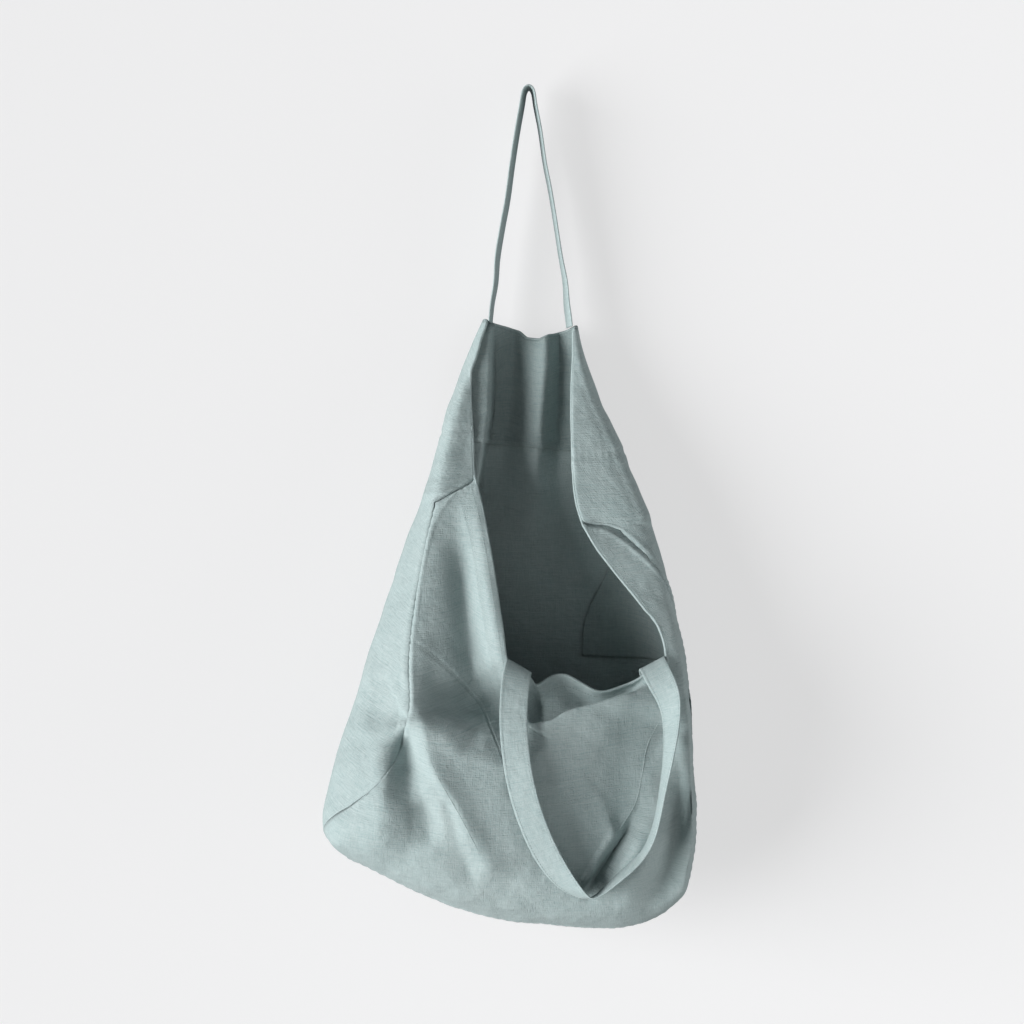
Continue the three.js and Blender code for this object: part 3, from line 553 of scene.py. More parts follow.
# %% Table of creases
# x, z, rise, reach to the left, reach to the right, bluntness, all in millimetres
creases = {
    "valley beside the mouth": [
        (-72, -415, 0, 12, 20, 6), (-68, -470, -5, 16, 34, 6), (-62, -530, -12, 16, 40, 6),
        (-57, -580, -25, 20, 40, 7), (-48, -606, -33, 26, 38, 7), (-38, -621, -35, 26, 34, 7),
        (-22, -630, -27, 24, 30, 6),
    ],
    "hem pulled straight": [
        (-58, -400, 0, 8, 12, 3), (-50, -450, 3, 9, 14, 3), (-40, -520, 6, 9, 14, 3),
        (-33, -565, 5, 8, 12, 3), (-27, -590, 0, 8, 12, 3),
    ],
    "hollow above the tucked fold": [
        (-112, -632, 0, 22, 7, 2), (-90, -627, -9, 30, 9, 2), (-60, -631, -16, 36, 10, 2),
        (-30, -634, -20, 36, 10, 2), (-14, -636, -12, 30, 8, 2), (0, -636, 0, 20, 8, 2),
    ],
    "edge of the tucked fold": [
        (-117, -640, 5, 5, 16, 1.5), (-90, -636, 5, 5, 20, 1.5), (-60, -641, 4, 5, 20, 1.5),
        (-30, -643, 4, 5, 20, 1.5), (-5, -646, 0, 5, 16, 1.5),
    ],
    "left corner edge": [
        (-118, -641, 6, 40, 5, 0.8), (-97, -681, 7, 60, 5, 0.8), (-72, -718, 6, 70, 6, 1),
        (-44, -775, 3, 70, 10, 3), (-34, -800, 0, 60, 12, 4),
    ],
    "side seam edge": [
        (-42, -244, 1, 6, 10, 2), (-58, -290, 2, 8, 12, 2), (-71, -322, 3, 10, 14, 2),
        (-88, -390, 3, 12, 20, 2), (-95, -425, 3, 14, 20, 2), (-108, -520, 5, 24, 24, 2),
        (-116, -590, 7, 26, 26, 2), (-118, -640, 8, 20, 20, 2),
    ],
    "bulge of the left wall": [
        (-128, -630, 0, 8, 30, 5), (-136, -660, 15, 11, 40, 5), (-142, -695, 22, 13, 45, 6),
        (-150, -740, 15, 18, 45, 8), (-156, -780, 0, 20, 45, 10),
    ],
    "hollow under the corner": [
        (-117, -643, -4, 8, 10, 3), (-120, -661, -14, 11, 15, 4), (-120, -680, -14, 12, 17, 4),
        (-118, -700, -5, 13, 18, 5), (-117, -716, 0, 14, 18, 6),
    ],
    "second hollow": [
        (-107, -700, 0, 10, 10, 3), (-103, -725, -8, 9, 12, 3), (-99, -748, -7, 9, 12, 4),
        (-95, -770, 0, 10, 12, 4),
    ],
    "third hollow": [
        (-70, -745, 0, 10, 12, 4), (-58, -785, -4, 12, 12, 4), (-48, -812, 0, 14, 14, 5),
    ],
    "fold up to the right handle": [
        (54, -812, 0, 5, 6, 1.2), (60, -790, 3, 4, 5, 1.2), (84, -752, 4, 4, 5, 1.2),
        (105, -724, 1, 4, 5, 1.2), (112, -697, 0, 4, 5, 1.2),
    ],
    "crevice beside it": [
        (50, -818, 0, 6, 8, 2), (65, -795, -14, 5, 9, 1.5), (90, -757, -19, 6, 11, 1.5),
        (107, -727, -10, 26, 16, 1.2), (113, -697, -6, 45, 26, 1), (124, -665, -8, 34, 20, 2),
        (132, -650, -8, 26, 14, 2), (137, -628, 0, 20, 16, 3),
    ],
    "front turned to the right": [
        (48, -800, 0, 60, 14, 6), (80, -752, -11, 64, 18, 6), (100, -715, -13, 68, 34, 6),
        (112, -680, -13, 68, 50, 6), (122, -645, -9, 60, 46, 6), (128, -620, 0, 40, 20, 6),
    ],
    "lower right valley": [
        (152, -670, 0, 8, 8, 4), (155, -709, -8, 9, 12, 4), (149, -750, -12, 10, 14, 4),
        (139, -785, -14, 12, 14, 4), (120, -822, -11, 14, 14, 4), (110, -842, -3, 14, 14, 5),
    ],
    "right seam ridge": [
        (146, -645, 0, 8, 5, 1.5), (159, -667, 4, 9, 6, 1.5), (161, -740, 4, 9, 6, 1.5),
        (156, -790, 0, 9, 6, 2),
    ],
    "slack on the left side": [
        (-176, -640, 0, 10, 14, 5), (-166, -590, 4, 12, 20, 4), (-150, -570, 0, 12, 14, 5),
    ],
    "ridge under the right strap": [
        (134, -650, 0, 8, 16, 4), (134, -690, 1, 8, 20, 4), (132, -725, 4, 9, 24, 5),
        (126, -770, 7, 9, 30, 5), (116, -815, 6, 12, 30, 6), (106, -838, 0, 12, 30, 6),
    ],
    "right flap beside the hem": [
        (46, -262, 0, 20, 5, 3), (45, -300, 4, 24, 5, 3), (45, -360, 8, 34, 6, 3),
        (47, -420, 8, 40, 6, 3), (60, -460, 3, 34, 8, 4), (84, -490, 0, 30, 8, 4),
    ],
    "fold inside the right outline": [
        (46, -261, 0, 4, 4, 1), (57, -290, 2.5, 3, 5, 1), (68, -319, 3, 3, 5, 1),
        (110, -419, 3, 3, 5, 1), (116, -434, 2.5, 3, 5, 1), (122, -450, 0, 4, 5, 1),
    ],
}
# the same for the inner side of the back panel
back_creases = {
    "pleat under the hem": [
        (16, -228, 18, 8, 18, 3), (16, -280, 24, 8, 18, 3), (12, -330, 24, 9, 18, 4),
        (8, -380, 19, 12, 20, 5), (3, -430, 10, 16, 22, 8), (0, -470, 0, 20, 24, 10),
    ],
}
# z, x of the crease that runs down from the left root of the handle
root_crease = np.array([
    (-470, -58), (-430, -56), (-398, -50), (-360, -44), (-321, -40), (-280, -39), (-230, -38),
])


print("lines", len(creases), "in front and", len(back_creases), "inside the back")


# %% Press the creases in
def crease_rise(x, z, lines):
    """The sum over the lines of a rise that falls off to both sides of the nearest place on each."""
    total = np.zeros_like(x)
    for rows in lines.values():
        rows = np.array(rows, float)
        best = np.full(x.shape, 1e9)
        found = np.zeros(x.shape)
        for a, b in zip(rows, rows[1:]):
            away, t = near_line(x, z, a[0], a[1], b[0], b[1])
            side = (b[0] - a[0]) * (z - a[1]) - (b[1] - a[1]) * (x - a[0])
            here = lerp(a[None, :], b[None, :], eased(t).reshape(-1, 1)).reshape(*x.shape, 6)
            reach = np.where(side > 0, here[..., 3], here[..., 4]) * 1.6
            blunt = here[..., 5]
            slope = np.clip(1 - (np.hypot(away, blunt) - blunt) / reach, 0, 1)
            rise = here[..., 2] * 1.3 * slope**2 / (slope + 0.3)
            closer = away < best
            found = np.where(closer, rise, found)
            best = np.minimum(best, away)
        total += found
    return total


def creased(grid, is_back):
    """Both tables pressed in: the first where the cloth faces the front, the second behind it."""
    x, y, z = grid[..., 0], grid[..., 1], grid[..., 2]
    y = y - crease_rise(x, z, creases) * eased((20 - y) / 45)
    if is_back:
        y = y - crease_rise(x, z, back_creases) * (1 - eased((10 - grid[..., 1]) / 15))

        # from the left hem to the crease under the handle's root the cloth comes forward to the hem
        level = np.clip((-handle_rise - z) / bag_drop, 0, 1)
        beside_hem = fold_depth(level) * bag_depth + 6
        crease_x = np.interp(z, root_crease[:, 0], root_crease[:, 1])
        hem_x = left_hem(level) * bag_width
        drawn = eased((x - hem_x + 7) / 6) * (1 - eased((x - crease_x + 1.5) / 5))
        drawn = drawn * eased((z + 452) / 50) * (1 - eased((z + 248) / 12)) * (grid[..., 1] > -2)
        y = lerp(y, np.minimum(y, beside_hem), drawn)
    return np.stack([x, y, z], -1)


back_grid = creased(back_grid, True)
front_grid = creased(front_grid, False)
join_sides()
join_bottom()
print("creases", len(creases) + len(back_creases))

# %% [markdown]
# ## Unevenness
# Between the creases linen is never quite flat. Many plane waves run through space in seeded
# directions, and every sheet is moved out or in by their sum at each of its places. Because the waves
# fill space, sheets that lie on each other move together and don't cross.

# %% Waves through space
wave_count, shortest, longest = 90, 14, 110
crumple_height = 0.2
rng = np.random.default_rng(11)
waves = unit(rng.normal(size=(wave_count, 3)))
wave_lengths = shortest * (longest / shortest) ** rng.random(wave_count)
wave_phases = rng.random(wave_count) * 2 * np.pi


def crumple(grid):
    """The sum of the sines of all waves at each place, the longer ones higher."""
    turn = (grid @ (waves / wave_lengths[:, None] * 2 * np.pi).T) + wave_phases
    rough = np.sin(turn) * (wave_lengths / longest) ** 1.1
    return rough.sum(-1) * crumple_height


print("wave lengths mm", round(wave_lengths.min()), "to", round(wave_lengths.max()))

# %% [markdown]
# ## Cloth from a grid
# A panel is one closed sheet: its outer face, its inner face and a rim that joins them. Its weave
# follows its own map, laid out in metres along the threads.

# %% Sheets
def outward(grid, way):
    """Unit direction out of the cloth: across both ways of the grid."""
    down = np.gradient(grid, axis=0)
    along = np.gradient(grid, axis=1)
    direction = unit(np.cross(down, along) * way)
    for _ in range(2):
        padded = np.pad(direction, ((1, 1), (1, 1), (0, 0)), mode="edge")
        mean = padded[:-2, 1:-1] + padded[2:, 1:-1] + padded[1:-1, :-2] + padded[1:-1, 2:]
        direction = unit(direction * 0.6 + mean * 0.1)
    return direction


def softened(values, width):
    """A running mean along the rows, weighted by a bell, with both ends held."""
    reach = int(3 * width)
    bell = np.exp(-0.5 * (np.arange(-reach, reach + 1) / width) ** 2)
    bell /= bell.sum()
    ends = 2 * values[:1] - values[reach:0:-1], 2 * values[-1:] - values[-2:-reach - 2:-1]
    every = np.concatenate([ends[0], values, ends[1]])
    return np.stack([np.convolve(column, bell, "valid") for column in every.T], -1)


def cloth_map(grid):
    """Metres along the threads: the run along the rows, and the height with a little of the depth."""
    along = np.hypot(np.diff(grid[..., 0], axis=1), np.diff(grid[..., 1], axis=1))
    u = np.concatenate([np.zeros((grid.shape[0], 1)), np.cumsum(along, 1)], 1)
    u += grid[:, u.shape[1] // 2, 0][:, None] - u[:, u.shape[1] // 2][:, None]
    v = 0.5 * softened(grid[..., 1], 8) - grid[..., 2]
    return np.stack([u, v], -1) * to_metres


def make_mesh(name, points, quads, uv=None, triangles=()):
    """Points in millimetres and lists of faces become a smooth mesh in metres."""
    mesh = bpy.data.meshes.new(name)
    mesh.vertices.add(len(points))
    mesh.vertices.foreach_set("co", (np.asarray(points, float) * to_metres).astype(np.float32).ravel())
    corners = np.concatenate([np.asarray(part, np.int32).ravel() for part in (quads, triangles)])
    sizes = np.array([4] * len(quads) + [3] * len(triangles), np.int32)
    mesh.loops.add(len(corners))
    mesh.loops.foreach_set("vertex_index", corners)
    mesh.polygons.add(len(sizes))
    mesh.polygons.foreach_set("loop_start", (np.cumsum(sizes) - sizes).astype(np.int32))
    mesh.polygons.foreach_set("use_smooth", np.ones(len(sizes), bool))
    mesh.update(calc_edges=True)
    mesh.validate()
    if uv is not None:
        layer = mesh.uv_layers.new(name="weave")
        layer.data.foreach_set("uv", np.asarray(uv, np.float32)[corners].ravel())
    piece = bpy.data.objects.new(name, mesh)
    bpy.context.scene.collection.objects.link(piece)
    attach(piece, "root")
    return piece


def cloth(name, grid, out, way, inner, outer, keep=None):
    """A closed sheet between two heights over a grid, or over those of its squares that are kept."""
    rows, cols = grid.shape[:2]
    number = np.arange(rows * cols).reshape(rows, cols)
    face = np.stack([number[:-1, :-1], number[1:, :-1], number[1:, 1:], number[:-1, 1:]], -1)
    face = face.reshape(-1, 4) if keep is None else face[keep]
    if way < 0:
        face = face[:, ::-1]
    start, stop = face.ravel(), np.roll(face, -1, 1).ravel()
    size = rows * cols
    open_edge = ~np.isin(stop.astype(np.int64) * size + start, start.astype(np.int64) * size + stop)
    start, stop = start[open_edge], stop[open_edge]
    edge = np.stack([start, start + size, stop + size, stop], -1)
    quads = np.concatenate([face, face[:, ::-1] + size, edge])
    points = np.concatenate([(grid + out * outer).reshape(-1, 3), (grid + out * inner).reshape(-1, 3)])
    uv = np.tile(cloth_map(grid).reshape(-1, 2), (2, 1))
    used, quads = np.unique(quads, return_inverse=True)
    return make_mesh(name, points[used], quads.reshape(-1, 4), uv[used])


def rumpled(grid, out):
    """The grid moved along its outward direction by the soft unevenness."""
    return grid + out * crumple(grid)[..., None]


back_grid = rumpled(back_grid, outward(back_grid, -1))
front_grid = rumpled(front_grid, outward(front_grid, 1))
back_out = outward(back_grid, -1)
front_out = outward(front_grid, 1)

# %% [markdown]
# ## Seams drawn in
# A sewn seam is a little shorter than the cloth on both sides of it, so it sinks in and the cloth
# beside it stands up in small puckers. The same shows along the line that holds the facing inside.
# Bump would not change the outline, so the rows of points next to each seam are moved instead, by
# rises that a slow wave makes stronger and weaker along the seam.

# %% Rows beside the seams
seam_rise = [-1.7, -0.5, 0.6, 0.7, 0.3]  # from the seam outwards
line_rise = {-2: 0.25, -1: 0.3, 0: -0.7, 1: 0.3, 2: 0.25}  # by rows from the facing's line
side_pucker, bottom_pucker, line_pucker = 9, 10, 7
back_facing_rows = 5 * 6
front_facing_rows = band_rows + 4 * 12
side_facing_columns = 10 * 6


def puckers(line, length):
    """A wave along a line that changes its length now and then."""
    run = run_along(line)
    return 1 + 0.45 * np.sin(run * 2 * np.pi / length + 1.3 * np.sin(run / 37))[:, None]


def shared_out(end):
    """The direction out of a side seam, half way between those of the two panels."""
    return unit(back_out[hem_rows:, end] + front_out[:, end])


fade = eased(np.arange(front_grid.shape[0])[:, None] / 8)
for end in (0, -1):
    shared = shared_out(end)
    wave = puckers(front_grid[:, end], side_pucker)
    if end == 0:
        # the left seam is pulled flat below the corner of the sack
        wave = wave * lerp(1, 0.2, eased((-front_grid[:, 0, 2:] - 640) / 20))
    for k, rise in enumerate(seam_rise):
        column = k if end == 0 else -1 - k
        for grid, out in ((back_grid[hem_rows:], back_out[hem_rows:]), (front_grid, front_out)):
            grid[:, column] += (shared if k == 0 else out[:, column]) * rise * wave * fade
for k, rise in enumerate(seam_rise):
    for grid, out in ((back_grid, back_out), (front_grid, front_out)):
        grid[-1 - k] += out[-1 - k] * rise * puckers(grid[-1 - k], bottom_pucker)
join_bottom()
for k, rise in line_rise.items():
    row = front_facing_rows - 1 + k
    faint = lerp(0.8, 0.2, eased((front_grid[row, :, :1] + 40) / 30))
    front_grid[row] += front_out[row] * rise * faint * puckers(front_grid[row], line_pucker)
    row = back_facing_rows - 1 + k
    back_grid[row] += back_out[row] * rise * puckers(back_grid[row], line_pucker)
back_out = outward(back_grid, -1)
front_out = outward(front_grid, 1)
for end in (0, -1):
    back_out[hem_rows:, end] = front_out[:, end] = shared_out(end)
print("seam rows", len(seam_rise), "line rows", len(line_rise))

# %% Both panels
back_cloth = cloth("back_cloth", back_grid, back_out, -1, 0, wall)
front_cloth = cloth("front_cloth", front_grid, front_out, 1, 0, wall)
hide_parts("back_panel")
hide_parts("front_panel")
print("triangles", 2 * len(back_cloth.data.polygons), 2 * len(front_cloth.data.polygons))

# %% [markdown]
# ## Facings
# Inside the mouth each panel is lined with a band of the same cloth, which gives the hem its weight.
# Each is cut from the grid of its own panel, so it follows every fold of it, and lies a millimetre
# further in. Both ends of the back one run down beside the side seams to meet the front one.

# %% Both facings
low = -facing_gap - facing_wall
keep = np.zeros((back_grid.shape[0] - 1, columns), bool)
keep[:back_facing_rows] = True
keep[: hem_rows + front_facing_rows, :side_facing_columns] = True
keep[: hem_rows + front_facing_rows, -side_facing_columns:] = True
back_strip = cloth("back_facing_strip", back_grid, back_out, -1, low, -facing_gap, keep)
front_keep = np.zeros((front_grid.shape[0] - 1, front_columns), bool)
front_keep[:front_facing_rows] = True
front_strip = cloth("front_facing_strip", front_grid, front_out, 1, low, -facing_gap, front_keep)
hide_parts("back_facing")
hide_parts("front_facing")
print("facing faces", len(back_strip.data.polygons), len(front_strip.data.polygons))

# %% [markdown]
# ## The hem
# Along the whole mouth the panels and their facings are turned over each other into a narrow round
# hem. It could be modelled as a turned edge of each sheet, but it is seen only as a thin roll that
# catches the light, so one closed tube runs round the mouth and covers the edges of all four sheets.

# %% A tube along a line
def tube(name, line, radius, sides, closed=False):
    """Rings of points square to the line, each with one axis also square to the view from the front."""
    before, after = np.roll(line, 1, 0), np.roll(line, -1, 0)
    if not closed:
        before[0], after[-1] = line[0], line[-1]
    tangent = unit(after - before)
    side = unit(np.cross(tangent, [0.02, 1.0, 0.01]))
    other = np.cross(side, tangent)
    turn = np.linspace(0, 2 * np.pi, sides, endpoint=False)
    radius = np.broadcast_to(radius, (len(line), 1))
    rings = (
        line[:, None]
        + side[:, None] * (radius * np.cos(turn))[..., None]
        + other[:, None] * (radius * np.sin(turn))[..., None]
    )
    rows = len(line)
    number = np.arange(rows * sides).reshape(rows, sides)
    quads = ring_faces(np.concatenate([number, number[:1]]) if closed else number)
    points = rings.reshape(-1, 3)
    triangles = []
    if not closed:
        points = np.concatenate([points, line[:1], line[-1:]])
        first, last = number[0], number[-1]
        triangles = np.concatenate([
            np.stack([np.roll(first, -1), first, np.full(sides, rows * sides)], -1),
            np.stack([last, np.roll(last, -1), np.full(sides, rows * sides + 1)], -1),
        ])
    run = run_along(line)
    around = turn[None, :] * radius
    uv = np.stack([around, np.broadcast_to(run[:, None], (rows, sides))], -1).reshape(-1, 2) * to_metres
    if not closed:
        uv = np.concatenate([uv, np.zeros((2, 2))])
    piece = make_mesh(name, points, quads, uv, triangles)
    return piece


def resampled(line, step):
    """The line cut into equal steps of about the given length."""
    run = run_along(line)
    at = np.linspace(0, run[-1], max(int(run[-1] / step), 3) + 1)
    return sampled(at, run, line)


middle_of_hem = (wall + low) / 2
back_mid = back_grid + back_out * middle_of_hem
front_mid = front_grid + front_out * middle_of_hem
mouth_line = np.concatenate([
    back_mid[0], back_mid[1:hem_rows + 1, -1], front_mid[0, -2:0:-1], back_mid[hem_rows:0:-1, 0],
])
mouth_line = resampled(np.concatenate([mouth_line, mouth_line[:1]]), 1.6)[:-1]
bell = np.array([1, 4, 6, 4, 1]) / 16
mouth_line = sum(np.roll(mouth_line, k - 2, 0) * bell[k] for k in range(5))
hem_roll = tube("hem_roll", mouth_line, hem_radius, 12, closed=True)
print("hem round the mouth mm", round(float(run_along(mouth_line)[-1])))

# %% [markdown]
# ## Pressed creases
# Two folds of the front are pressed so sharp that they show as a thin bright line. The grid is too
# coarse for an edge like that, so a thin tapered ridge is half sunk in the cloth along each.

# %% Ridges along sharp creases
def on_front(x, z):
    """The depth of the front cloth at places seen from the front: a mean of the five nearest points."""
    near = front_grid.reshape(-1, 3)[front_grid[..., 1].ravel() < 25]
    away = np.hypot(near[None, :, 0] - x[:, None], near[None, :, 2] - z[:, None])
    found = np.argsort(away, axis=1)[:, :5]
    weight = 1 / (np.take_along_axis(away, found, 1) + 0.4)
    return (near[found, 1] * weight).sum(1) / weight.sum(1)


def pressed(name, places, radius=0.9, sunk=0.35):
    """A thin ridge along a sharp crease, half sunk in the cloth, that tapers out at both ends."""
    places = np.array(places, float)
    line = spline(np.insert(places, 1, 0, axis=1)[None], shares(90)[None])[0]
    depth = on_front(line[:, 0], line[:, 2])
    line[:, 1] = softened(depth[:, None], 2)[:, 0] - wall + sunk
    taper = 0.25 + 0.75 * np.sin(np.pi * shares(90)) ** 0.6
    return tube(name, line, radius * taper[:, None], 8)


creased_cloth = [
    pressed("corner_crease", [
        (-118, -642), (-106, -657), (-89, -694), (-69, -729), (-55, -756), (-44, -777),
    ]),
    pressed("front_crease", [
        (133, -632), (124, -649), (117, -665),
        (111, -697), (105, -721), (86, -751),
        (66, -783), (56, -800),
    ]),
]
print("pressed creases", [piece.name for piece in creased_cloth])

# %% [markdown]
# ## Stitches
# Rows of stitches run below the hem, along the facings' edges and on both sides of both handles.
# Each stitch is a short closed capsule, bent so that its ends go down into the cloth. All the
# stitches of a row are one mesh, made in one step from the shape of a single stitch.

# %% One stitch, many times
thread_sides, thread_rows = 5, 5
thread_turn = np.linspace(0, 2 * np.pi, thread_sides, endpoint=False)
thread_shape = np.array([(-0.5, 0.35), (-0.3, 0.9), (0.0, 1.0), (0.3, 0.9), (0.5, 0.35)])


def stitches(name, line, out, pitch=3.2, length=2.3, radius=0.3):
    """Short closed capsules of thread lying on the cloth at equal steps along a line."""
    run = run_along(line)
    at = np.arange(pitch, run[-1] - pitch, pitch)
    centre = sampled(at, run, line)
    along = unit(sampled(at + 0.5, run, line) - centre)
    up = unit(sampled(at, run, out))
    beside = np.cross(along, up)
    rise = 1.2 * (1 - (2 * thread_shape[:, 0]) ** 2) - 0.7
    thick = thread_shape[:, 1:] * radius
    points = (
        centre[:, None, None]
        + along[:, None, None] * (thread_shape[:, 0] * length)[None, :, None, None]
        + up[:, None, None] * (rise * radius)[None, :, None, None]
        + beside[:, None, None] * (np.cos(thread_turn) * thick)[None, :, :, None]
        + up[:, None, None] * (np.sin(thread_turn) * thick)[None, :, :, None]
    )
    count, size = len(at), thread_rows * thread_sides
    number = np.arange(size).reshape(thread_rows, thread_sides)
    quads = ring_faces(number)
    first, last = number[0], number[-1]
    fans = [(first[0], first[k + 1], first[k]) for k in range(1, thread_sides - 1)]
    fans += [(last[0], last[k], last[k + 1]) for k in range(1, thread_sides - 1)]
    shift = (np.arange(count) * size)[:, None, None]
    quads = (quads[None] + shift).reshape(-1, 4)
    fans = (np.array(fans)[None] + shift).reshape(-1, 3)
    piece = make_mesh(name, points.reshape(-1, 3), quads, None, fans)
    return piece


# %% Rows of stitches on the cloth
threads = []


def stitch_row(name, grid, out, index, over, first=0, last=None):
    """Stitches along one row or column of a grid."""
    line, up = grid[index][first:last], out[index][first:last]
    threads.append(stitches(name, line + up * over, up * np.sign(over)))


near_hem = band_rows // 4
beside = side_facing_columns - 2  # where the back facing's own edge begins
front_row, back_row = front_facing_rows - 1, back_facing_rows - 1
stitch_row("stitches_front_hem", front_grid, front_out, near_hem, wall + 0.1)
stitch_row("stitches_front_facing", front_grid, front_out, front_row, wall + 0.05)
stitch_row("stitches_back_hem_in", back_grid, back_out, 1, low - 0.1)
stitch_row("stitches_back_facing_in", back_grid, back_out, back_row, low - 0.1, beside, -beside)
stitch_row("stitches_back_facing", back_grid, back_out, back_row, wall + 0.05, beside, -beside)
print("stitch rows on the cloth", len(threads))

# %% [markdown]
# ## Handles
# Each handle is a strap of folded linen, 28 mm wide and stitched along both edges. The back one hangs
# edge on, the front one has fallen forward over the rim and twists, so that its right leg shows its
# inner side. A strip bent by a simulation would have to be coaxed into just that twist. Here a table
# gives the way of its middle, how far it lies off the cloth and how far it is rolled.

# %% Handle tables
# x, down, y, as shares of the width, the rise of the handle and the depth
back_handle_rows = np.array([
    (-0.105, 1.01, -0.02), (-0.1045, 1.0, -0.02), (-0.103, 0.98, -0.015), (-0.1, 0.93, 0),
    (-0.09, 0.84, 0), (-0.086, 0.738, 0), (-0.07, 0.586, 0), (-0.058, 0.485, 0),
    (-0.045, 0.333, 0), (-0.03, 0.181, 0), (-0.017, 0.07, 0), (-0.011, 0.012, 0),
    (0, -0.0042, 0), (0.011, 0.012, 0), (0.016, 0.07, 0), (0.03, 0.181, 0),
    (0.044, 0.333, 0), (0.057, 0.434, 0), (0.068, 0.536, 0), (0.088, 0.738, 0),
    (0.1, 0.84, 0), (0.104, 0.941, 0), (0.108, 0.98, -0.02), (0.1105, 1.015, -0.025),
    (0.111, 1.03, -0.025),
])
# x, down, y or 0 where it lies on the cloth, off the cloth, turn or 0 where it follows the loop, roll
front_handle_rows = np.array([
    (-0.06, 0.606, -0.42, 0, 145, 0), (-0.045, 0.592, -0.5, 0, 148, 0),
    (-0.03, 0.574, -0.585, 0, 150, 0), (-0.0214, 0.5655, -0.655, 0, 150, 0),
    (-0.03, 0.574, -0.725, 0, 150, 0), (-0.037, 0.597, -0.76, 0, 152, 4),
    (-0.041, 0.629, -0.8, 0, 170, 8), (-0.043, 0.662, 0, 7, 0, 12),
    (-0.039, 0.695, 0, 10, 0, 13), (-0.031, 0.736, 0, 13, 0, 15),
    (-0.011, 0.79, 0, 13, 0, 18), (0.02, 0.843, 0, 13, 0, 22),
    (0.055, 0.886, 0, 13, 0, 29), (0.1, 0.925, 0, 15, 0, 48),
    (0.14, 0.947, 0, 17, 0, 72), (0.162, 0.956, 0, 18, 0, 86),
    (0.18, 0.947, 0, 18, 0, 94), (0.208, 0.932, 0, 17, 0, 99),
    (0.253, 0.907, 0, 15, 0, 103), (0.296, 0.884, 0, 14, 0, 103),
    (0.329, 0.85, 0, 15, 0, 101), (0.346, 0.81, 0, 17, 0, 99),
    (0.357, 0.77, 0, 18, 0, 101), (0.37, 0.725, 0, 19, 0, 108),
    (0.379, 0.685, 0, 20, 0, 116), (0.381, 0.65, 0, 17, 0, 128),
    (0.371, 0.615, -0.77, 0, 380, 152), (0.347, 0.59, -0.71, 0, 388, 172),
    (0.333, 0.57, -0.65, 0, 388, 180), (0.326, 0.5605, -0.59, 0, 388, 180),
    (0.331, 0.57, -0.525, 0, 388, 180), (0.34, 0.6, -0.535, 0, 388, 180),
    (0.352, 0.618, -0.55, 0, 388, 180),
])


# %% A strap along a line
section_points = 48


def strap_frames(places, turns, rolls, rows, smoothing):
    """Points along the strap with the direction of its width and of its face."""
    t = np.linspace(0, 1, 4001)
    line = spline(places[None], t[None])[0]
    angles = spline(np.stack([rolls, turns, 0 * turns], -1)[None], t[None])[0][:, :2]
    runs = run_along(line)
    at = np.interp(shares(rows) * runs[-1], runs, np.arange(len(t)))
    line = softened(sampled(at, np.arange(len(t)), line), smoothing)
    angles = np.radians(softened(sampled(at, np.arange(len(t)), angles), smoothing))
    tangent = unit(np.gradient(line, axis=0))
    roll, turn = angles[:, :1], angles[:, 1:]
    in_loop = np.concatenate([np.cos(turn), 0 * turn, np.sin(turn)], 1)
    width = in_loop * np.cos(roll) + np.array([[0, 1, 0]]) * np.sin(roll)
    width = unit(width - tangent * (width * tangent).sum(1, keepdims=True))
    return line, width, np.cross(tangent, width), runs[-1]


def strap(name, frames, node):
    """A flat section with round edges and a slight dish, carried along the frames."""
    line, width, face, length = frames
    half_width = handle_width / 2
    turn = np.linspace(0, 2 * np.pi, section_points, endpoint=False)
    across = np.sign(np.cos(turn)) * np.abs(np.cos(turn)) ** 0.3 * half_width
    rise = np.sign(np.sin(turn)) * np.abs(np.sin(turn)) ** 0.55 * strap_thickness / 2
    rise += 0.2 * np.exp(-(((np.abs(across) - half_width + 1.2) / 1.3) ** 2)) * np.sign(rise)
    points = line[:, None] + width[:, None] * across[:, None] + face[:, None] * rise[:, None]
    rows, count = points.shape[:2]
    number = np.arange(rows * count).reshape(rows, count)
    quads = [ring_faces(number)]
    ends = []
    half = count // 2
    i = np.arange(1, half - 1)
    for row, step in ((number[0], -1), (number[-1], 1)):
        quads.append(np.stack([row[i], row[i + 1], row[-i - 1], row[-i]], -1)[:, ::step])
        ends += [(row[0], row[1], row[-1])[::step], (row[half], row[half + 1], row[half - 1])[::step]]
    u = np.broadcast_to(across[None, :], (rows, count))
    v = np.broadcast_to((shares(rows - 1) * length)[:, None], (rows, count))
    uv = np.stack([u, v], -1).reshape(-1, 2) * to_metres
    piece = make_mesh(name, points.reshape(-1, 3), np.concatenate(quads), uv, ends)
    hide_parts(node)
    return piece


# %% Both handles
def loop_turns(line, given):
    """Direction of the width in the loop's plane: outwards, square to the line, unless it is given."""
    before = line[np.maximum(np.arange(len(line)) - 1, 0)]
    after = line[np.minimum(np.arange(len(line)) + 1, len(line) - 1)]
    found = np.degrees(np.arctan2(before[:, 0] - after[:, 0], after[:, 2] - before[:, 2]))
    found = np.where(found < 100, found + 360, found)
    return np.where(given > 0, given, found)


bx, bdown, by = back_handle_rows.T
back_line = np.stack([bx * bag_width, by * bag_depth, -bdown * handle_rise], -1)
back_turns = loop_turns(back_line, np.zeros(len(back_line)))
turned = eased((bdown - 0.7) / 0.3)
left_leg = 1 - eased((bx + 0.02) / 0.04)
back_rolls = lerp(lerp(85.0, 79.0, turned), lerp(81.0, 84.0, turned), left_leg)
back_frames = strap_frames(back_line, back_turns, back_rolls, 300, 3)

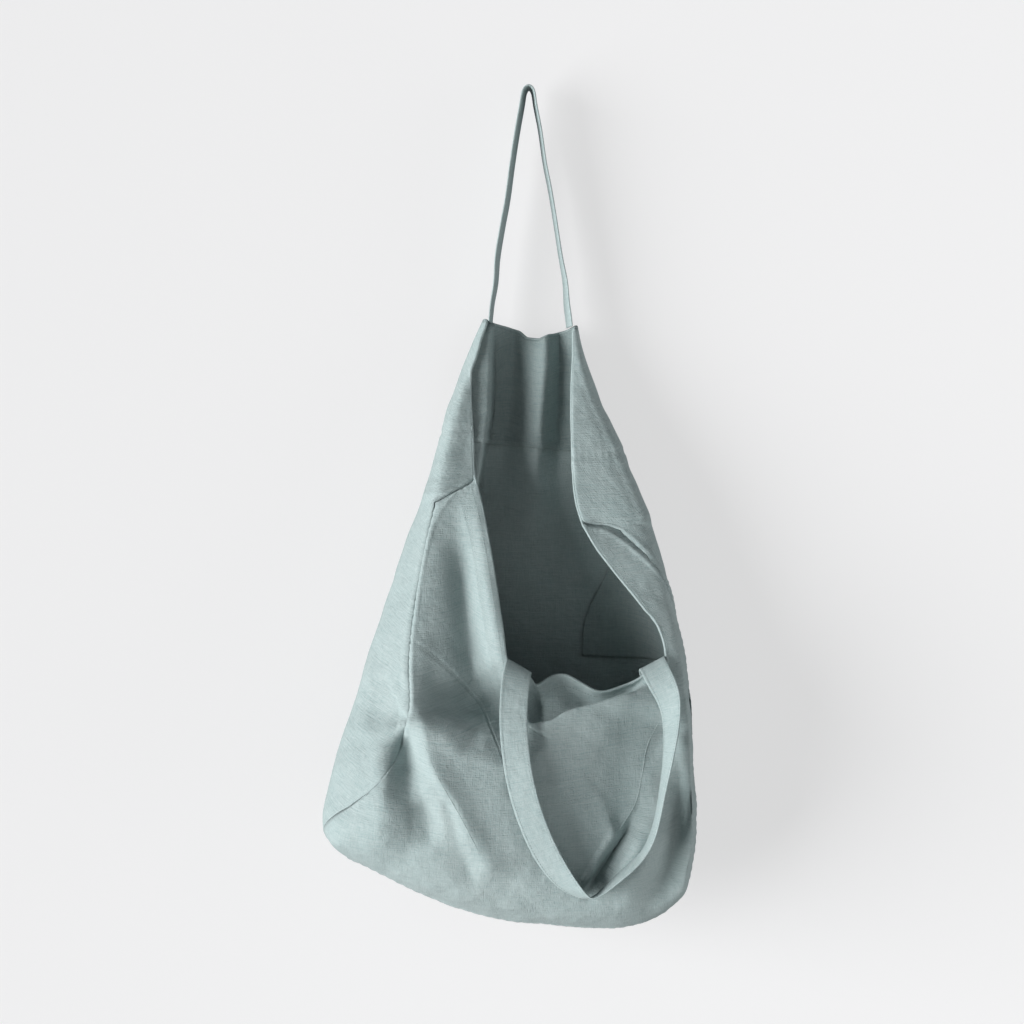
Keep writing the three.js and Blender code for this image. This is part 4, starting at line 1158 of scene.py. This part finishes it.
fx, fdown, fy, off_cloth, given_turn, roll = front_handle_rows.T
flevel = level_at(fx, fdown)
fz = -handle_rise - fdown * bag_drop
ridges = np.maximum(crease_rise(fx * bag_width, fz, creases), 0)
on_cloth = front(across_at(fx, flevel), flevel)[:, 1] - off_cloth - 0.6 * ridges
front_line = np.stack([fx * bag_width, np.where(fy < 0, fy * bag_depth, on_cloth), fz], -1)
front_frames = strap_frames(front_line, loop_turns(front_line, given_turn), roll, 420, 7)
back_strap = strap("back_strap", back_frames, "back_handle")
front_strap = strap("front_strap", front_frames, "front_handle")
print("handle lengths mm", round(back_frames[3]), round(front_frames[3]))

# %% Stitches on the handles
stitch_inset, over_strap = 2.6, 0.9
for name, frames, left_out in (("back", back_frames, 14), ("front", front_frames, 4)):
    line, width, face = [part[left_out:-left_out] for part in frames[:3]]
    for side, way in (("outer", 1), ("inner", -1)):
        for face_name, up in (("face", 1), ("lining", -1)):
            place = line + width * way * (handle_width / 2 - stitch_inset) + face * up * over_strap
            title = f"stitches_{name}_{side}_{face_name}"
            threads.append(stitches(title, place, face * up, radius=0.24))
print("stitch rows", len(threads))

# %% [markdown]
# ## Materials as sums
# A material is a tree of small nodes, which is hard to read when it is wired by hand. Here a socket is
# wrapped so that it can be added and multiplied like a number, and every other node is made by one
# method, so that a material reads as the formula that it is.

# %% Sums with sockets
class Shade:
    """A socket that can be added, subtracted and multiplied, so that a material reads as a formula."""

    def __init__(self, tree, socket):
        self.tree, self.socket = tree, socket

    def node(self, kind, settings=None, outlet=0, **values):
        """A node: settings first, then inputs by name or number (n0, n1), as values or links."""
        made = self.tree.nodes.new(kind)
        for key, value in (settings or {}).items():
            setattr(made, key, value)
        for key, value in values.items():
            numbered = key[0] == "n" and key[1:].isdigit()
            inlet = made.inputs[int(key[1:]) if numbered else key.replace("_", " ")]
            if isinstance(value, Shade):
                self.tree.links.new(value.socket, inlet)
            else:
                inlet.default_value = value
        return Shade(self.tree, made.outputs[outlet])

    def math(self, kind, *others):
        """One step of arithmetic on this socket."""
        inputs = {f"n{k}": value for k, value in enumerate((self, *others))}
        return self.node("ShaderNodeMath", {"operation": kind}, **inputs)

    def __add__(self, other):
        return self.math("ADD", other)

    __radd__ = __add__

    def __mul__(self, other):
        return self.math("MULTIPLY", other)

    __rmul__ = __mul__

    def __sub__(self, other):
        return self.math("SUBTRACT", other)

    def __rsub__(self, other):
        return (self * -1.0) + other

    def __pow__(self, other):
        return self.math("POWER", other)

    def clear(self, start, stop):
        """From 0 at the start to 1 at the stop, eased."""
        return self.node(
            "ShaderNodeMapRange", {"interpolation_type": "SMOOTHSTEP"}, n0=self, n1=start, n2=stop,
        )

    def part(self, which):
        """One of the three parts of a vector."""
        return self.node("ShaderNodeSeparateXYZ", outlet=which, Vector=self)

    def stretched(self, x, y, z=1.0):
        """These coordinates times three numbers."""
        return self.node("ShaderNodeVectorMath", {"operation": "MULTIPLY"}, n0=self, n1=(x, y, z))

    def noise(self, scale, detail=2.0, rough=0.5, shift=(0.0, 0.0, 0.0)):
        """Smooth noise about one half, at so many waves to a metre."""
        moved = self.node("ShaderNodeVectorMath", {"operation": "ADD"}, n0=self, n1=shift)
        return self.node(
            "ShaderNodeTexNoise", Vector=moved, Scale=scale, Detail=detail, Roughness=rough,
        )

    def mixed(self, low_colour, high_colour):
        """A colour between two, by this share."""
        settings = {"data_type": "RGBA", "clamp_factor": False}
        return self.node("ShaderNodeMix", settings, 2, n0=self, n6=low_colour, n7=high_colour)


def material(name, roughness=0.85, specular=0.2, sheen=0.06):
    """A new material, its node tree, its principled shader and an empty sum to start from."""
    made = bpy.data.materials.new(name)
    made.use_nodes = True
    tree = made.node_tree
    shader = tree.nodes["Principled BSDF"]
    shader.inputs["Roughness"].default_value = roughness
    shader.inputs["Specular IOR Level"].default_value = specular
    shader.inputs["Sheen Weight"].default_value = sheen
    shader.inputs["Sheen Roughness"].default_value = 0.6
    return made, tree, shader, Shade(tree, None)


def connect(tree, source, shader, inlet):
    """Link a sum to an input of the shader."""
    tree.links.new(source.socket, shader.inputs[inlet])


# %% [markdown]
# ## Light and backdrop
# The bag hangs on a pale wall, in the soft light of a large opening far to the left and a little in
# front. It comes almost along the wall, so every fold has a bright left side and a shaded right one.
# Little light comes back from below and from the right. Lamps of a given size would fall off across
# the bag, so each of the three is a sun with a wide angle, whose light is even and whose shadows are
# soft. The wall and floor are one curved sheet that throws no light on the bag, so the balance stays
# with the lamps. It is seen from the inside only: from behind, the view goes through it.

# %% Lamps
world = bpy.data.worlds.new("studio")
world.use_nodes = True
world.node_tree.nodes["Background"].inputs["Color"].default_value = (0.93, 0.96, 1.0, 1)
world.node_tree.nodes["Background"].inputs["Strength"].default_value = 0.16
bpy.context.scene.world = world
bpy.context.scene.view_settings.view_transform = "Standard"


def soft_sun(name, way, spread_angle, strength, colour):
    """Even light from one side. way points from the bag to the light, and a wide angle softens it."""
    data = bpy.data.lights.new(name, "SUN")
    data.energy = strength
    data.angle = np.radians(spread_angle)
    data.color = colour
    light = bpy.data.objects.new(name, data)
    light.rotation_euler = Vector(way).to_track_quat("Z", "Y").to_euler()
    bpy.context.scene.collection.objects.link(light)


# way to the lamp, angle, strength, colour
lamps = {
    "window": ((-0.9, -0.42, -0.12), 50, 5.7, (1.0, 1.0, 1.0)),
    "bounce": ((0.4, -0.55, -0.72), 80, 0.75, (1.0, 0.99, 0.97)),
    "room": ((0.97, -0.1, -0.1), 50, 1.15, (1.0, 1.0, 1.0)),
}
for name, values in lamps.items():
    soft_sun(name, *values)
print("lamps", list(lamps))

# %% Wall and floor
# y, z in metres, from the far end of the floor to the top of the wall
profile = [(-40.0, -1.35), (-0.5, -1.35), (-0.2, -1.32), (-0.03, -1.2), (0.034, -1.0), (0.034, 12.0)]
half_length = 12.0
backdrop_places = [(x, y, z) for y, z in profile for x in (-half_length, half_length)]
backdrop_faces = [(2 * k, 2 * k + 1, 2 * k + 3, 2 * k + 2) for k in range(len(profile) - 1)]
tops = len(backdrop_places)
top = profile[-1][1]
backdrop_places += [(x, y, top) for y, _ in profile[:-1] for x in (-half_length, half_length)]
for k in range(len(profile) - 2):
    above = tops + 2 * k
    backdrop_faces.append((2 * k, 2 * k + 2, above + 2, above))
    backdrop_faces.append((2 * k + 3, 2 * k + 1, above + 1, above + 3))
backdrop = make_mesh("backdrop", np.array(backdrop_places) / to_metres, backdrop_faces)
backdrop.parent = None
backdrop.visible_shadow = False
backdrop.visible_diffuse = False
backdrop.visible_glossy = False

plain, tree, shader, start = material("backdrop", 0.9, 0.1, 0.0)
shader.inputs["Base Color"].default_value = (0.27, 0.27, 0.275, 1)
shader.inputs["Emission Color"].default_value = (1, 1, 1, 1)
shader.inputs["Emission Strength"].default_value = 0.6
from_behind = start.node("ShaderNodeNewGeometry", outlet="Backfacing")
see_through = start.node("ShaderNodeBsdfTransparent")
surface = Shade(tree, shader.outputs[0])
either = start.node("ShaderNodeMixShader", n0=from_behind, n1=surface, n2=see_through)
connect(tree, either, tree.nodes["Material Output"], "Surface")
backdrop.data.materials.append(plain)
print("backdrop faces", len(backdrop_faces))

# %% [markdown]
# ## Linen
# The cloth is a plain weave of uneven flax yarns in a washed grey green. Its threads are under a
# millimetre wide, so most of what is seen of them is their unevenness: thicker yarns that run on for
# a few centimetres in both directions, a fine grain, and broad paler places where it was washed.
# The map along the threads gives both directions. Real relief carries the folds and crumples, and the
# bump adds only the threads and the smallest wrinkles.

# %% The cloth
thread_pitch = 0.0013  # metres from one crossing of the weave to the next but one
slub, fine_yarn = (28, 620), (130, 1500)  # waves to a metre along a yarn and across it


def linen(name, dark, pale, depth=1.0):
    """Yarns along both ways of the map, thick places in them, a grain and washed places."""
    made, tree, shader, start = material(name)
    body = start.node("ShaderNodeTexCoord", outlet=3)
    along_threads = start.node("ShaderNodeAttribute", {"attribute_name": "weave"}, outlet=1)
    wander = along_threads.noise(60.0, 1.0) * 0.0009
    warp, weft = [
        ((along_threads.part(k) + wander) * (2 * np.pi / thread_pitch)).math("SINE") for k in (0, 1)
    ]
    weave = (warp * weft) * 0.5 + 0.5

    slub_across = along_threads.stretched(*slub).noise(1.0, 2.0, 0.65)
    slub_down = along_threads.stretched(*slub[::-1]).noise(1.0, 2.0, 0.65, (7.0, 3.0, 0.0))
    fine_across = along_threads.stretched(*fine_yarn).noise(1.0, 1.0, 0.5, (3.0, 9.0, 0.0))
    fine_down = along_threads.stretched(*fine_yarn[::-1]).noise(1.0, 1.0, 0.5, (5.0, 1.0, 0.0))
    yarns = slub_across * 0.9 + slub_down * 0.45 + fine_across * 0.8 + fine_down * 0.6
    middle_of_yarns = 1.375  # half of the four weights above
    grain = body.noise(800.0, 2.0, 0.6)
    washed = body.noise(9.0, 4.0, 0.55).clear(0.35, 0.68)
    streaks = body.stretched(60, 60, 12).noise(1.0, 3.0, 0.6).clear(0.4, 0.7)
    tone = (yarns - middle_of_yarns) * 2.0 + (grain - 0.5) * 0.7
    tone = tone + washed * 0.22 + streaks * 0.16 + weave * 0.08 + 0.3
    tone = tone.math("MAXIMUM", -0.3).math("MINIMUM", 1.3)
    connect(tree, tone.mixed(dark, pale), shader, "Base Color")

    relief = weave * 0.1 + yarns * 0.62 + grain * 0.2
    fine_bump = start.node("ShaderNodeBump", Strength=0.85 * depth, Distance=0.001, Height=relief)
    wrinkles = body.noise(110.0, 3.0, 0.55) * 0.6 + body.noise(38.0, 2.0, 0.5) * 1.2
    both = start.node(
        "ShaderNodeBump", Strength=0.6, Distance=0.0026, Height=wrinkles, Normal=fine_bump,
    )
    connect(tree, both, shader, "Normal")
    return made


cloth_material = linen("linen", (0.278, 0.352, 0.352, 1), (0.358, 0.424, 0.422, 1))
# The facings are the same cloth in darker colours: painted shade for the inside of the bag, where they
# lie.
facing_material_painted_shade = linen("linen_inside_painted_shade", (0.22, 0.283, 0.282, 1), (0.285, 0.342, 0.34, 1))
strap_material = linen("linen_strap", (0.272, 0.346, 0.346, 1), (0.352, 0.418, 0.416, 1), 0.7)

# %% The thread, and each piece its material
thread_material, tree, shader, start = material("thread", 0.7, 0.3)
uneven = start.node("ShaderNodeTexCoord", outlet=3).noise(700.0, 1.0)
connect(tree, uneven.mixed((0.26, 0.33, 0.33, 1), (0.36, 0.43, 0.425, 1)), shader, "Base Color")
worn = (
    (cloth_material, (back_cloth, front_cloth, hem_roll, *creased_cloth)),
    (facing_material_painted_shade, (back_strip, front_strip)),
    (strap_material, (back_strap, front_strap)),
    (thread_material, threads),
)
for chosen, pieces in worn:
    for piece in pieces:
        piece.data.materials.append(chosen)
    print(chosen.name, "on", len(pieces))
